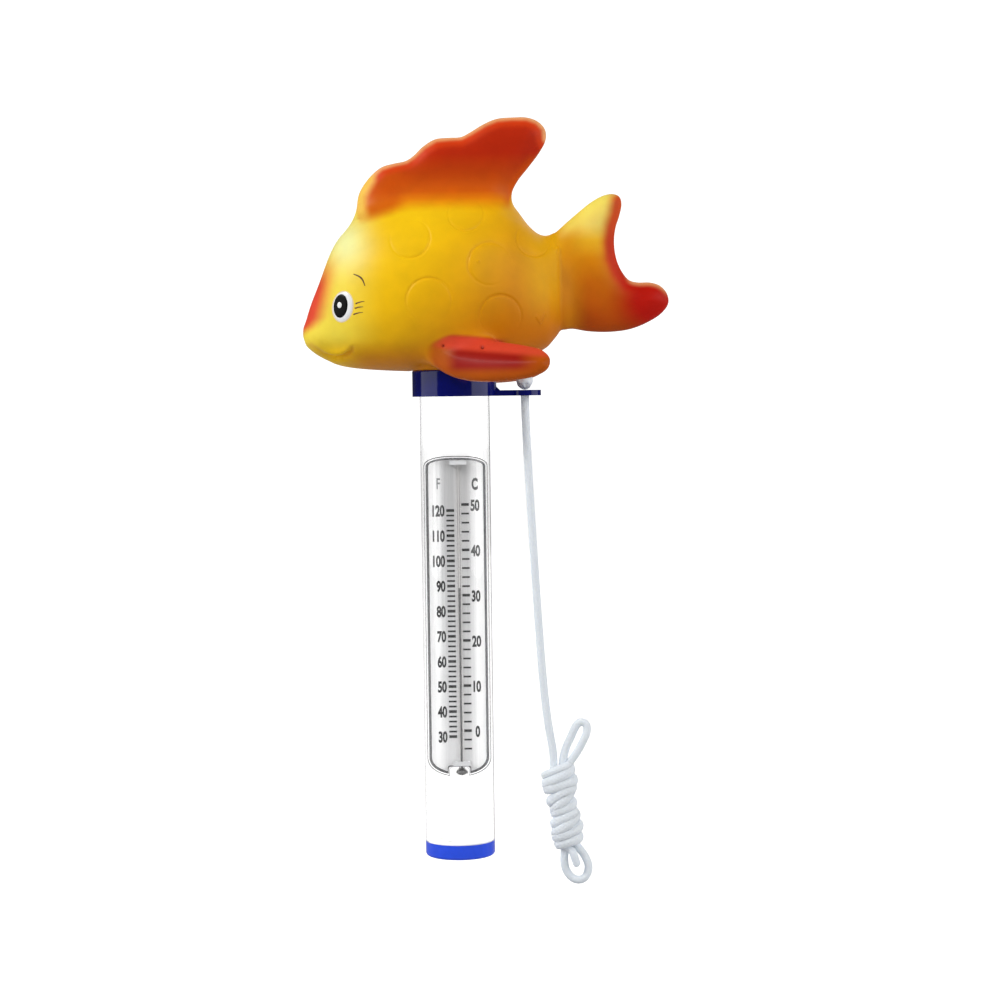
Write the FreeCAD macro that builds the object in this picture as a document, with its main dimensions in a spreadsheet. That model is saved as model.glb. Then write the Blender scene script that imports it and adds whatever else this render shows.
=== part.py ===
import FreeCAD, Part
import math
import os
import Sketcher

# Floating pool thermometer: a fish float, a clear tube with a glass thermometer in it, and a tether cord.
# Frame: +Z up, +X towards the fish's tail, -Y the side that the scale is read from.
# The origin is on the tube's axis, at the level where the fish floats. Lengths are in millimetres.

V = FreeCAD.Vector
UP = V(0, 0, 1)

# ---------------------------------------------------------------- driving dimensions

SIZES = {
    # top cap: collar, socket, spigot and tether tab
    "collar_radius": 13.5,
    "collar_height": 8.4,
    "collar_bottom": -16.2,
    "socket_depth": 6.8,
    "glue_gap": 0.05,
    "spigot_radius": 9.0,
    "spigot_bore": 6.2,
    "spigot_height": 11.0,
    "groove_height": 3.6,
    "groove_width": 1.6,
    "groove_depth": 1.6,
    "tab_thickness": 1.8,
    "tab_half_width": 3.7,
    "tab_root": 11.9,
    "eye_distance": 22.6,
    "eye_rim_radius": 5.2,
    "eye_radius": 2.5,
    "gusset_reach": 1.2,
    "gusset_rise": 1.2,
    "gusset_width": 2.4,
    "gusset_lift": 0.2,
    "edge_round": 0.5,
    "vent_radius": 0.8,
    "vent_height": 3.2,
    # neck seal
    "seal_thickness": 0.8,
    # clear tube
    "tube_radius": 11.2,
    "tube_wall": 0.7,
    "tube_bottom": -163.4,
    "tube_length": 154.0,
    "rebate_depth": 0.3,
    "rebate_length": 3.8,
    # bottom cap and the screen in it
    "cap_floor": 1.0,
    "cap_round": 1.1,
    "inlet_radius": 1.1,
    "inlet_circle": 6.0,
    "inlet_count": 6,
    "screen_thickness": 4.2,
    # scale frame and card
    "frame_bottom": -139.0,
    "frame_height": 103.1,
    "frame_half_width": 10.4,
    "frame_end_rise": 4.9,
    "frame_end_radius": 13.6,
    "frame_end_share": 0.35,
    "frame_back": 1.2,
    "frame_web": 0.8,
    "frame_rim_depth": 1.6,
    "frame_rim": 0.9,
    "card_thickness": 0.3,
    "card_gap": 0.05,
    "notch_half_width": 3.2,
    "notch_height": 3.5,
    "upper_notch_half_width": 3.9,
    "upper_notch_height": 1.6,
    "card_notch_gap": 0.2,
    # glass thermometer
    "stem_offset": 0.8,
    "stem_forward": -0.9,
    "stem_radius": 0.9,
    "stem_top": -36.9,
    "bore_radius": 0.32,
    "bulb_middle": -137.5,
    "bulb_radius": 2.1,
    "bulb_half_height": 1.5,
    "glass_wall": 0.4,
    "closed_tip": 1.2,
    # liquid
    "film_gap": 0.02,
    "liquid_radius": 0.3,
    "column_bottom": -131.5,
    "reading_level": -77.9,
    "meniscus_length": 0.8,
    # clips that hold the stem
    "clip_height": 1.3,
    "clip_half_width": 2.7,
    "clip_front": 0.6,
    "clip_gap": 0.03,
    "clip_upper_level": -38.1,
    "clip_lower_level": -135.3,
    # fish float
    "float_wall": 1.8,
    "belly_land": 0.7,
    "neck_radius": 13.3,
    "neck_sleeve": 11.2,
    "neck_depth": 12.0,
    # tether cord
    "cord_radius": 1.35,
    "cord_clearance": 0.3,
    "knot_radius": 2.75,
    "knot_half_height": 3.0,
    "knot_lift": 0.05,
    "throat_drop": 0.9,
}

doc = FreeCAD.newDocument("PoolThermometer")
sheet = doc.addObject("Spreadsheet::Sheet", "Sizes")
for row, (alias, number) in enumerate(SIZES.items(), start=1):
    sheet.set(f"A{row}", alias)
    sheet.set(f"B{row}", str(number))
    sheet.setAlias(f"B{row}", alias)
doc.recompute()

BELLY = SIZES["collar_bottom"] + SIZES["collar_height"]
subparts = []


def bound(expression):
    """The expression with the sheet's name put before each of its aliases."""
    return " ".join("Sizes." + word if word in SIZES else word for word in expression.split())


def bind(thing, **expressions):
    """Bind properties of an object to expressions in the sheet's aliases."""
    for name, expression in expressions.items():
        thing.setExpression(name, bound(expression))
    return thing


def place(thing, across="0", forward="0", height="0"):
    """Bind the three coordinates of an object's place."""
    thing.setExpression("Placement.Base.x", bound(across))
    thing.setExpression("Placement.Base.y", bound(forward))
    thing.setExpression("Placement.Base.z", bound(height))
    return thing


def keep(thing, label):
    """Register an object as the sub-part that this label names."""
    thing.Label = label
    subparts.append(thing)
    return thing


# ---------------------------------------------------------------- sketches


def new_body(label, height="0"):
    body = doc.addObject("PartDesign::Body", "Body_" + label)
    place(body, height=height)
    return keep(body, label)


def new_sketch(body, role, offset="0"):
    """An empty sketch on one of the body's own origin planes, moved along the plane's normal."""
    sketch = body.newObject("Sketcher::SketchObject", "Sketch")
    plane = [feature for feature in body.Origin.OriginFeatures if feature.Role == role][0]
    sketch.AttachmentSupport = [(plane, "")]
    sketch.MapMode = "FlatFace"
    sketch.setExpression("AttachmentOffset.Base.z", bound(offset))
    return sketch


def fix_vertex(sketch, edge, corner):
    """Hold the first point of an edge at a corner given as two expressions."""
    for kind, expression in zip(("DistanceX", "DistanceY"), corner):
        number = sketch.evalExpression(bound(expression))
        index = sketch.addConstraint(Sketcher.Constraint(kind, -1, 1, edge, 1, number))
        sketch.setExpression(f"Constraints[{index}]", bound(expression))


def add_outline(sketch, corners, arcs=()):
    """A closed outline through counter-clockwise corners; arcs maps an edge's number to its radius."""
    arcs = dict(arcs)
    first = sketch.GeometryCount
    numbers = [[sketch.evalExpression(bound(word)) for word in corner] for corner in corners]
    points = [V(across, along, 0) for across, along in numbers]
    count = len(points)
    for k in range(count):
        start, end = points[k], points[(k + 1) % count]
        if k in arcs:
            radius = sketch.evalExpression(bound(arcs[k]))
            chord = end - start
            outward = V(chord.y, -chord.x, 0).normalize()
            rise = radius - math.sqrt(radius ** 2 - chord.Length ** 2 / 4)
            edge = Part.Arc(start, (start + end) * 0.5 + outward * rise, end)
        else:
            edge = Part.LineSegment(start, end)
        sketch.addGeometry(edge, False)
    for k in range(count):
        following = first + (k + 1) % count
        sketch.addConstraint(Sketcher.Constraint("Coincident", first + k, 2, following, 1))
    for k, corner in enumerate(corners):
        fix_vertex(sketch, first + k, corner)
    for k, radius in arcs.items():
        number = sketch.evalExpression(bound(radius))
        index = sketch.addConstraint(Sketcher.Constraint("Radius", first + k, number))
        sketch.setExpression(f"Constraints[{index}]", bound(radius))


def add_circle(sketch, across, along, radius):
    edge = sketch.GeometryCount
    centre = [sketch.evalExpression(bound(word)) for word in (across, along)]
    sketch.addGeometry(Part.Circle(V(centre[0], centre[1], 0), V(0, 0, 1), 1.0), False)
    for kind, expression in (("DistanceX", across), ("DistanceY", along)):
        number = sketch.evalExpression(bound(expression))
        index = sketch.addConstraint(Sketcher.Constraint(kind, -1, 1, edge, 3, number))
        sketch.setExpression(f"Constraints[{index}]", bound(expression))
    index = sketch.addConstraint(Sketcher.Constraint("Radius", edge, 1.0))
    sketch.setExpression(f"Constraints[{index}]", bound(radius))


def revolve(body, corners):
    """Turn an outline of (radius, height) corners about the body's Z axis."""
    sketch = new_sketch(body, "XZ_Plane")
    add_outline(sketch, corners)
    turned = body.newObject("PartDesign::Revolution", "Turned")
    turned.Profile = sketch
    turned.ReferenceAxis = (sketch, ["V_Axis"])
    turned.Angle = 360
    doc.recompute()
    return turned


def pad(body, sketch, length, both_ways=False):
    raised = body.newObject("PartDesign::Pad", "Raised")
    raised.Profile = sketch
    raised.Midplane = both_ways
    bind(raised, Length=length)
    doc.recompute()
    return raised


def cut_through(body, sketch):
    """Cut a sketch through the whole body, both ways from its plane."""
    before = body.Shape.Volume
    cut = body.newObject("PartDesign::Pocket", "Cut")
    cut.Profile = sketch
    cut.Type = "ThroughAll"
    cut.Midplane = True
    doc.recompute()
    if body.Shape.Volume >= before - 1e-6:
        raise RuntimeError("a cut removed nothing in " + body.Label)
    return cut


def round_circles(body, radius, height, amount):
    """Round the circular edges of one radius at one local height."""
    base = body.Tip
    names = []
    for number, edge in enumerate(base.Shape.Edges, start=1):
        curve = edge.Curve
        if isinstance(curve, Part.Circle):
            right_size = abs(curve.Radius - radius) < 1e-6
            if right_size and abs(curve.Center.z - height) < 1e-6:
                names.append(f"Edge{number}")
    rounded = body.newObject("PartDesign::Fillet", "Rounded")
    rounded.Base = (base, names)
    bind(rounded, Radius=amount)
    doc.recompute()
    return rounded


# ---------------------------------------------------------------- top cap


def make_top_cap():
    """Collar over the tube, a flat tab with the tether eye, and a cup-shaped spigot that plugs the fish."""
    body = new_body("top_cap", "collar_bottom")
    groove_floor = "spigot_radius - groove_depth"
    groove_low = "collar_height + groove_height"
    groove_high = "collar_height + groove_height + groove_width"
    spigot_top = "collar_height + spigot_height"
    revolve(body, [
        ("0", "socket_depth"),
        ("tube_radius + glue_gap", "socket_depth"),
        ("tube_radius + glue_gap", "0"),
        ("collar_radius", "0"),
        ("collar_radius", "collar_height"),
        ("spigot_radius", "collar_height"),
        ("spigot_radius", groove_low),
        (groove_floor, groove_low),
        (groove_floor, groove_high),
        ("spigot_radius", groove_high),
        ("spigot_radius", spigot_top),
        ("spigot_bore", spigot_top),
        ("spigot_bore", "collar_height"),
        ("0", "collar_height"),
    ])

    gusset = new_sketch(body, "XZ_Plane")
    add_outline(gusset, [
        ("tab_root", "gusset_lift"),
        ("collar_radius + gusset_reach", "gusset_lift"),
        ("collar_radius + gusset_reach", "tab_thickness"),
        ("collar_radius", "tab_thickness + gusset_rise"),
        ("tab_root", "tab_thickness + gusset_rise"),
    ])
    pad(body, gusset, "gusset_width", both_ways=True)

    tab = new_sketch(body, "XY_Plane")
    add_outline(tab, [
        ("tab_root", "- tab_half_width"),
        ("eye_distance", "- tab_half_width"),
        ("eye_distance", "tab_half_width"),
        ("tab_root", "tab_half_width"),
    ])
    pad(body, tab, "tab_thickness")

    rim = new_sketch(body, "XY_Plane")
    add_circle(rim, "eye_distance", "0", "eye_rim_radius")
    pad(body, rim, "tab_thickness")

    eye = new_sketch(body, "XY_Plane")
    add_circle(eye, "eye_distance", "0", "eye_radius")
    cut_through(body, eye)

    vent = new_sketch(body, "XZ_Plane")
    add_circle(vent, "0", "vent_height", "vent_radius")
    bored = body.newObject("PartDesign::Pocket", "Vent")
    bored.Profile = vent
    bind(bored, Length="collar_radius + 1")
    doc.recompute()

    round_circles(body, SIZES["collar_radius"], SIZES["collar_height"], "edge_round")


def make_neck_seal():
    """Rubber ring in the spigot's groove."""
    ring = doc.addObject("Part::Torus", "Ring")
    bind(ring, Radius1="spigot_radius - seal_thickness + film_gap", Radius2="seal_thickness")
    groove_middle = "collar_bottom + collar_height + groove_height + groove_width / 2"
    place(ring, height=groove_middle)
    keep(ring, "neck_seal")


# ---------------------------------------------------------------- tube and bottom cap


def make_clear_tube():
    """Clear tube with a turned-down lower end, so that the cap's skirt is flush, and a vent near the top."""
    body = new_body("clear_tube", "tube_bottom")
    revolve(body, [
        ("tube_radius - tube_wall", "0"),
        ("tube_radius - rebate_depth", "0"),
        ("tube_radius - rebate_depth", "rebate_length"),
        ("tube_radius", "rebate_length"),
        ("tube_radius", "tube_length"),
        ("tube_radius - tube_wall", "tube_length"),
    ])
    vent = new_sketch(body, "XZ_Plane")
    add_circle(vent, "0", "collar_bottom - tube_bottom + vent_height", "vent_radius")
    bored = body.newObject("PartDesign::Pocket", "Vent")
    bored.Profile = vent
    bind(bored, Length="tube_radius + 1")
    doc.recompute()


def make_bottom_cap():
    """Cup over the turned-down end of the tube, with a ring of water inlets in its floor."""
    body = new_body("bottom_cap", "tube_bottom - cap_floor")
    skirt = "tube_radius - rebate_depth + glue_gap"
    revolve(body, [
        ("0", "0"),
        ("tube_radius", "0"),
        ("tube_radius", "cap_floor + rebate_length"),
        (skirt, "cap_floor + rebate_length"),
        (skirt, "cap_floor"),
        ("0", "cap_floor"),
    ])
    drill_inlets(body)
    round_circles(body, SIZES["tube_radius"], 0.0, "cap_round")


def make_inlet_screen():
    """Pale disc that fills the end of the tube above the cap's floor, with the same inlets."""
    body = new_body("inlet_screen", "tube_bottom")
    disc = new_sketch(body, "XY_Plane")
    add_circle(disc, "0", "0", "tube_radius - tube_wall - glue_gap")
    pad(body, disc, "screen_thickness")
    drill_inlets(body)


def drill_inlets(body):
    """A ring of equal holes through a disc."""
    hole = new_sketch(body, "XY_Plane")
    add_circle(hole, "inlet_circle", "0", "inlet_radius")
    first = cut_through(body, hole)
    before = body.Shape.Volume
    ring = body.newObject("PartDesign::PolarPattern", "Ring")
    ring.Originals = [first]
    ring.Axis = (hole, ["N_Axis"])
    ring.Angle = 360
    bind(ring, Occurrences="inlet_count")
    body.Tip = ring
    doc.recompute()
    if body.Shape.Volume >= before - 1e-6:
        raise RuntimeError("the ring of holes was not cut in " + body.Label)


# ---------------------------------------------------------------- scale


def frame_outline(inset):
    """Corners of the frame's outline drawn in by an inset: straight sides and bowed ends."""
    side = f"frame_half_width - {inset}"
    low = f"frame_end_rise + {inset} * frame_end_share"
    high = f"frame_height - frame_end_rise - {inset} * frame_end_share"
    corners = [(f"- frame_half_width + {inset}", low), (side, low), (side, high)]
    corners.append((f"- frame_half_width + {inset}", high))
    ends = {0: f"frame_end_radius - {inset}", 2: f"frame_end_radius - {inset}"}
    return corners, ends


def cut_notches(body, widening):
    """Notch at the lower end for the bulb, and a smaller one at the upper end for the top clip."""
    lower = new_sketch(body, "XZ_Plane")
    add_outline(lower, [
        (f"- notch_half_width - {widening}", "-1"),
        (f"notch_half_width + {widening}", "-1"),
        (f"notch_half_width + {widening}", f"notch_height + {widening}"),
        (f"- notch_half_width - {widening}", f"notch_height + {widening}"),
    ])
    cut_through(body, lower)
    upper = new_sketch(body, "XZ_Plane")
    add_outline(upper, [
        (f"- upper_notch_half_width - {widening}", f"frame_height - upper_notch_height - {widening}"),
        (f"upper_notch_half_width + {widening}", f"frame_height - upper_notch_height - {widening}"),
        (f"upper_notch_half_width + {widening}", "frame_height + 1"),
        (f"- upper_notch_half_width - {widening}", "frame_height + 1"),
    ])
    cut_through(body, upper)


def make_scale_frame():
    """Clear tray as wide as the bore: a thin web at the back and a raised rim all round."""
    body = new_body("scale_frame", "frame_bottom")
    corners, ends = frame_outline("0")
    web = new_sketch(body, "XZ_Plane", "- frame_back")
    add_outline(web, corners, ends)
    pad(body, web, "frame_web")
    rim = new_sketch(body, "XZ_Plane", "- frame_back + frame_web")
    add_outline(rim, corners, ends)
    inner_corners, inner_ends = frame_outline("frame_rim")
    add_outline(rim, inner_corners, inner_ends)
    pad(body, rim, "frame_rim_depth")
    cut_notches(body, "0")


def make_scale_card():
    """Printed card on the tray's web."""
    body = new_body("scale_card", "frame_bottom")
    corners, ends = frame_outline("( frame_rim + card_gap )")
    face = new_sketch(body, "XZ_Plane", "- frame_back + frame_web")
    add_outline(face, corners, ends)
    pad(body, face, "card_thickness")
    cut_notches(body, "card_notch_gap")


# ---------------------------------------------------------------- glass thermometer


def new_cylinder(name, radius, length, bottom):
    """Upright cylinder on the stem's axis."""
    rod = doc.addObject("Part::Cylinder", name)
    bind(rod, Radius=radius, Height=length)
    return place(rod, "stem_offset", "stem_forward", bottom)


def new_bulb(name, thinner):
    """Egg-shaped body of the bulb, smaller all round by an amount."""
    egg = doc.addObject("Part::Ellipsoid", name)
    bind(egg, Radius1=f"bulb_half_height - {thinner}", Radius2=f"bulb_radius - {thinner}")
    egg.Radius3 = 0
    return place(egg, "stem_offset", "stem_forward", "bulb_middle")


def combine(kind, name, base, tool):
    joined = doc.addObject("Part::" + kind, name)
    joined.Base = base
    joined.Tool = tool
    doc.recompute()
    return joined


def make_glass():
    """Glass stem closed at the top, blown into a bulb at the bottom."""
    stem = new_cylinder("Stem", "stem_radius", "stem_top - bulb_middle", "bulb_middle")
    outside = combine("Fuse", "GlassOutside", new_bulb("BulbOutside", "0"), stem)
    bore = new_cylinder("Bore", "bore_radius", "stem_top - bulb_middle - closed_tip", "bulb_middle")
    inside = combine("Fuse", "GlassInside", new_bulb("BulbInside", "glass_wall"), bore)
    keep(combine("Cut", "Glass", outside, inside), "glass_capillary")


def make_liquid():
    """Liquid in the bulb, the thread above it, and the thread's top end, which shows the temperature."""
    egg = new_bulb("LiquidEgg", "( glass_wall + film_gap )")
    neck = new_cylinder("LiquidNeck", "liquid_radius", "column_bottom - bulb_middle", "bulb_middle")
    keep(combine("Fuse", "BulbLiquid", egg, neck), "bulb_liquid")
    thread_length = "reading_level - meniscus_length - column_bottom"
    keep(new_cylinder("Thread", "liquid_radius", thread_length, "column_bottom"), "liquid_column")
    top_end = new_cylinder("Meniscus", "liquid_radius", "meniscus_length", "reading_level - meniscus_length")
    keep(top_end, "liquid_meniscus")


def make_clip(label, level):
    """Saddle on the card that wraps the front of the stem."""
    block = doc.addObject("Part::Box", "Block")
    bind(block, Length="2 * clip_half_width", Height="clip_height")
    bind(block, Width="frame_back - frame_web - card_thickness - stem_forward + stem_radius + clip_front")
    place(block, "stem_offset - clip_half_width", "stem_forward - stem_radius - clip_front", level)
    slot = new_cylinder("Slot", "stem_radius + clip_gap", "clip_height + 2", f"{level} - 1")
    keep(combine("Cut", "Clip", block, slot), label)


# ---------------------------------------------------------------- fish float

# Cross-sections of the fish's trunk from nose to tail root: (x, bottom, top, half width)
TRUNK = [
    (-47.7, 2.8, 8.0, 3.4),
    (-45.0, -0.2, 15.8, 8.6),
    (-40.0, -4.2, 27.6, 14.6),
    (-34.0, -6.2, 36.4, 18.8),
    (-24.0, -7.4, 43.0, 22.4),
    (-11.0, -8.2, 46.8, 24.2),
    (3.0, -8.2, 47.4, 24.0),
    (14.0, -6.8, 45.2, 21.6),
    (23.5, -4.2, 39.6, 17.0),
    (30.0, -0.4, 34.0, 11.0),
    (34.0, 4.4, 30.0, 6.0),
]

DORSAL_FIN = [
    (-31.4, 39.5), (-30.6, 46.0), (-26.8, 53.8), (-21.6, 57.8), (-15.2, 59.3), (-10.4, 62.5),
    (-5.0, 65.9), (2.2, 66.5), (8.6, 69.7), (15.0, 72.2), (23.0, 72.6), (28.6, 70.4),
    (30.3, 66.2), (27.6, 59.6), (22.8, 54.2), (19.2, 48.8), (18.6, 43.0), (12.0, 36.0), (-20.0, 34.0),
]

TAIL_FIN = [
    (27.0, 29.0), (31.8, 34.6), (39.8, 41.4), (46.0, 46.6), (51.6, 47.9), (54.4, 44.8),
    (52.6, 37.8), (51.8, 31.0), (54.0, 23.4), (57.4, 19.6), (63.4, 19.1), (68.6, 16.6),
    (69.2, 12.0), (62.0, 6.8), (50.6, 4.1), (39.6, 4.7), (32.6, 5.6), (26.0, 12.0),
]

DORSAL_THICKNESS = 8.0
TAIL_THICKNESS = 9.0
FIN_EDGE = 0.80
FIN_CREST = 0.96
FIN_ROOT_WALLS = 0.6
SIDE_FIN_HALF_SIZES = (20.5, 8.0, 4.4)
SIDE_FIN_SECTIONS = (-0.97, -0.85, -0.5, 0.0, 0.5, 0.85, 0.97)
SIDE_FIN_MIDDLE = V(12.6, 26.2, -4.8)
SIDE_FIN_SWEEP = 27.0
SIDE_FIN_DROOP = 7.0
SIDE_FIN_ROLL = 34.0


def trunk_solid(wall):
    """Smooth solid through the trunk's oval sections, drawn in by a wall thickness."""
    sections = []
    for index, (across, bottom, top, half_width) in enumerate(TRUNK):
        end_shift = {0: wall, len(TRUNK) - 1: -wall}.get(index, 0.0)
        centre = V(across + end_shift, 0, (bottom + top) / 2)
        tall, wide = (top - bottom) / 2 - wall, half_width - wall
        if tall > wide:
            oval = Part.Ellipse(centre + V(0, 0, tall), centre + V(0, wide, 0), centre)
        else:
            oval = Part.Ellipse(centre + V(0, wide, 0), centre + V(0, 0, tall), centre)
        sections.append(Part.Wire([oval.toShape()]))
    return Part.makeLoft(sections, True, False)


def fin_solid(outline, thickness):
    """Fin through four layers: nearly its full outline in the middle, a smaller one on each side."""
    middle_x = sum(point[0] for point in outline) / len(outline)
    middle_z = sum(point[1] for point in outline) / len(outline)
    layers = []
    for side, scale in ((-0.5, FIN_EDGE), (-0.25, FIN_CREST), (0.25, FIN_CREST), (0.5, FIN_EDGE)):
        points = [
            V(middle_x + (x - middle_x) * scale, side * thickness, middle_z + (z - middle_z) * scale)
            for x, z in outline
        ]
        curve = Part.BSplineCurve()
        curve.interpolate(points, PeriodicFlag=True)
        layers.append(Part.Wire([curve.toShape()]))
    return Part.makeLoft(layers, True, True)


def side_fin_solid(side):
    """Swept-back paddle on one side of the belly; side is 1 or -1."""
    length, height, thickness = SIDE_FIN_HALF_SIZES
    sections = []
    for share in SIDE_FIN_SECTIONS:
        narrowing = math.sqrt(1 - share ** 2)
        centre = V(length * share, 0, 0)
        tall, wide = V(0, 0, height * narrowing), V(0, thickness * narrowing, 0)
        sections.append(Part.Wire([Part.Ellipse(centre + tall, centre + wide, centre).toShape()]))
    paddle = Part.makeLoft(sections, True, False)
    paddle.rotate(V(0, 0, 0), V(1, 0, 0), SIDE_FIN_ROLL * side)
    paddle.rotate(V(0, 0, 0), V(0, 1, 0), SIDE_FIN_DROOP)
    paddle.rotate(V(0, 0, 0), V(0, 0, 1), SIDE_FIN_SWEEP * side)
    paddle.translate(V(SIDE_FIN_MIDDLE.x, SIDE_FIN_MIDDLE.y * side, SIDE_FIN_MIDDLE.z))
    return paddle


def make_float_shell():
    """Hollow fish with solid fins, and a sleeve in the belly for the cap's spigot."""
    neck_top = BELLY + SIZES["neck_depth"]
    land_radius = SIZES["collar_radius"] + SIZES["belly_land"]
    below = Part.makeCylinder(land_radius, SIZES["neck_depth"], V(0, 0, BELLY - SIZES["neck_depth"]), UP)
    neck = Part.makeCylinder(SIZES["neck_radius"], neck_top - BELLY, V(0, 0, BELLY), UP)
    sleeve = Part.makeCylinder(SIZES["neck_sleeve"], neck_top - BELLY, V(0, 0, BELLY), UP)
    bore_radius = SIZES["spigot_radius"] + SIZES["glue_gap"]
    bore = Part.makeCylinder(bore_radius, neck_top - BELLY + 2, V(0, 0, BELLY - 1), UP)

    outside = trunk_solid(0.0).fuse([neck])
    inside = trunk_solid(SIZES["float_wall"]).cut(sleeve)
    shell = outside.cut(inside).cut(below).cut(bore)
    fins = [fin_solid(DORSAL_FIN, DORSAL_THICKNESS), fin_solid(TAIL_FIN, TAIL_THICKNESS)]
    fins += [side_fin_solid(1), side_fin_solid(-1)]
    hollow = trunk_solid(SIZES["float_wall"] * FIN_ROOT_WALLS)
    fins = [fin.cut(hollow) for fin in fins]
    fish = shell.fuse(fins)

    shell_part = doc.addObject("Part::Feature", "Fish")
    shell_part.Shape = fish
    shell_part.Placement = FreeCAD.Placement()
    keep(shell_part, "float_shell")


# ---------------------------------------------------------------- tether cord

EYE = V(SIZES["eye_distance"], 0, SIZES["collar_bottom"])
PIVOT = EYE - V(0, 0, SIZES["throat_drop"] + SIZES["cord_clearance"] + SIZES["cord_radius"])

# Route of the hanging run, from the pivot under the eye to the top of the hank: (x, y, z)
DROP_ROUTE = [
    (PIVOT.x, 0.0, PIVOT.z),
    (23.3, 0.2, -38.0),
    (25.1, 0.4, -72.0),
    (27.1, 0.2, -106.0),
    (28.8, 0.0, -122.5),
    (31.4, 0.0, -135.0),
]
UPPER_LOOP_ROUTE = [
    (32.4, 0.2, -135.4),
    (34.2, 0.5, -130.6),
    (36.4, 0.7, -126.4),
    (37.5, 0.6, -123.6),
    (39.0, 0.3, -121.7),
    (41.3, 0.0, -122.3),
    (41.5, -0.3, -124.8),
    (40.4, -0.5, -127.4),
    (38.4, -0.3, -131.2),
    (36.0, 0.0, -135.8),
]
LOWER_LOOP_ROUTE = [
    (34.0, 0.0, -161.8),
    (33.5, 0.3, -165.6),
    (34.0, 0.5, -169.0),
    (36.5, 0.6, -171.7),
    (39.8, 0.3, -171.5),
    (41.2, 0.1, -168.6),
    (40.0, 0.0, -165.2),
    (37.4, 0.0, -161.6),
]
HANK_TOP = V(31.4, 0, -135.0)
HANK_BOTTOM = V(35.4, 0, -162.6)
# Hank's oval sections: (share of its length, half width, half depth)
HANK_SECTIONS = [(0.0, 4.0, 3.2), (0.14, 5.6, 4.2), (0.5, 5.0, 4.1), (0.8, 5.3, 4.2), (1.0, 3.9, 3.2)]


# Share of the shorter run beside a corner that its arc takes up
ARC_SHARE = 0.45


def rounded_path(points):
    """Straight runs joined by arcs that touch both runs, each as large as the shorter run allows."""
    corners = [V(*point) for point in points]
    edges = []
    start = corners[0]
    for before, corner, after in zip(corners, corners[1:], corners[2:]):
        incoming = (corner - before).normalize()
        outgoing = (after - corner).normalize()
        half_turn = incoming.getAngle(outgoing) / 2
        reach = ARC_SHARE * min((corner - before).Length, (after - corner).Length)
        radius = reach / math.tan(half_turn)
        print(f"cord arc radius {radius:.1f} mm, turn {math.degrees(2 * half_turn):.1f} degrees")
        first = corner - incoming * reach
        last = corner + outgoing * reach
        inward = (outgoing - incoming).normalize()
        middle = corner + inward * (radius / math.cos(half_turn) - radius)
        edges.append(Part.LineSegment(start, first).toShape())
        edges.append(Part.Arc(first, middle, last).toShape())
        start = last
    edges.append(Part.LineSegment(start, corners[-1]).toShape())
    return Part.Wire(edges)


def cord_tube(points):
    """Round tube along a rounded path."""
    path = rounded_path(points)
    direction = (V(*points[1]) - V(*points[0])).normalize()
    section = Part.Wire([Part.makeCircle(SIZES["cord_radius"], V(*points[0]), direction)])
    tube = path.makePipeShell([section], True, True)
    expected = math.pi * SIZES["cord_radius"] ** 2 * path.Length
    print(f"cord run {path.Length:.1f} mm, volume {tube.Volume:.1f} of {expected:.1f} cubic mm")
    return tube


def keep_shape(shape, label):
    part = doc.addObject("Part::Feature", "Cord")
    part.Shape = shape
    part.Placement = FreeCAD.Placement()
    keep(part, label)


def make_tether_knot():
    """Stopper knot on the tab and the short stretch of cord through the eye."""
    lump = doc.addObject("Part::Ellipsoid", "KnotLump")
    bind(lump, Radius1="knot_half_height", Radius2="knot_radius")
    lump.Radius3 = 0
    place(lump, "eye_distance", "0", "collar_bottom + tab_thickness + knot_half_height + knot_lift")
    throat = doc.addObject("Part::Cylinder", "KnotThroat")
    bind(throat, Radius="cord_radius", Height="tab_thickness + throat_drop + knot_half_height")
    place(throat, "eye_distance", "0", "collar_bottom - throat_drop")
    keep(combine("Fuse", "Knot", lump, throat), "tether_knot")


def make_cord():
    """Hanging run with a barrel end about its pivot, the hank, and the two loops that stick out of it."""
    radius = SIZES["cord_radius"]
    barrel = Part.makeCylinder(radius, 2 * radius, PIVOT - V(0, radius, 0), V(0, 1, 0))
    keep_shape(cord_tube(DROP_ROUTE).fuse(barrel), "cord_drop")
    along = (HANK_BOTTOM - HANK_TOP).normalize()
    sideways = V(-along.z, 0, along.x)
    ovals = []
    for share, half_width, half_depth in HANK_SECTIONS:
        centre = HANK_TOP + (HANK_BOTTOM - HANK_TOP) * share
        oval = Part.Ellipse(centre + sideways * half_width, centre + V(0, half_depth, 0), centre)
        ovals.append(Part.Wire([oval.toShape()]))
    keep_shape(Part.makeLoft(ovals, True, False), "hank_body")
    hank = subparts[-1].Shape
    keep_shape(cord_tube(UPPER_LOOP_ROUTE).cut(hank), "hank_loop_upper")
    keep_shape(cord_tube(LOWER_LOOP_ROUTE).cut(hank), "hank_loop_lower")


# ---------------------------------------------------------------- build, check, export

make_float_shell()
make_top_cap()
make_neck_seal()
make_clear_tube()
make_bottom_cap()
make_inlet_screen()
make_scale_frame()
make_scale_card()
make_glass()
make_liquid()
make_clip("clip_upper", "clip_upper_level")
make_clip("clip_lower", "clip_lower_level")
make_tether_knot()
make_cord()
doc.recompute()

for thing in doc.Objects:
    if "Invalid" in thing.State or "Error" in thing.State:
        raise RuntimeError(f"{thing.Label} did not rebuild: {thing.State}")
for thing in subparts:
    if thing.Shape.isNull() or not thing.Shape.isValid():
        raise RuntimeError(f"{thing.Label} has no valid shape")

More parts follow.
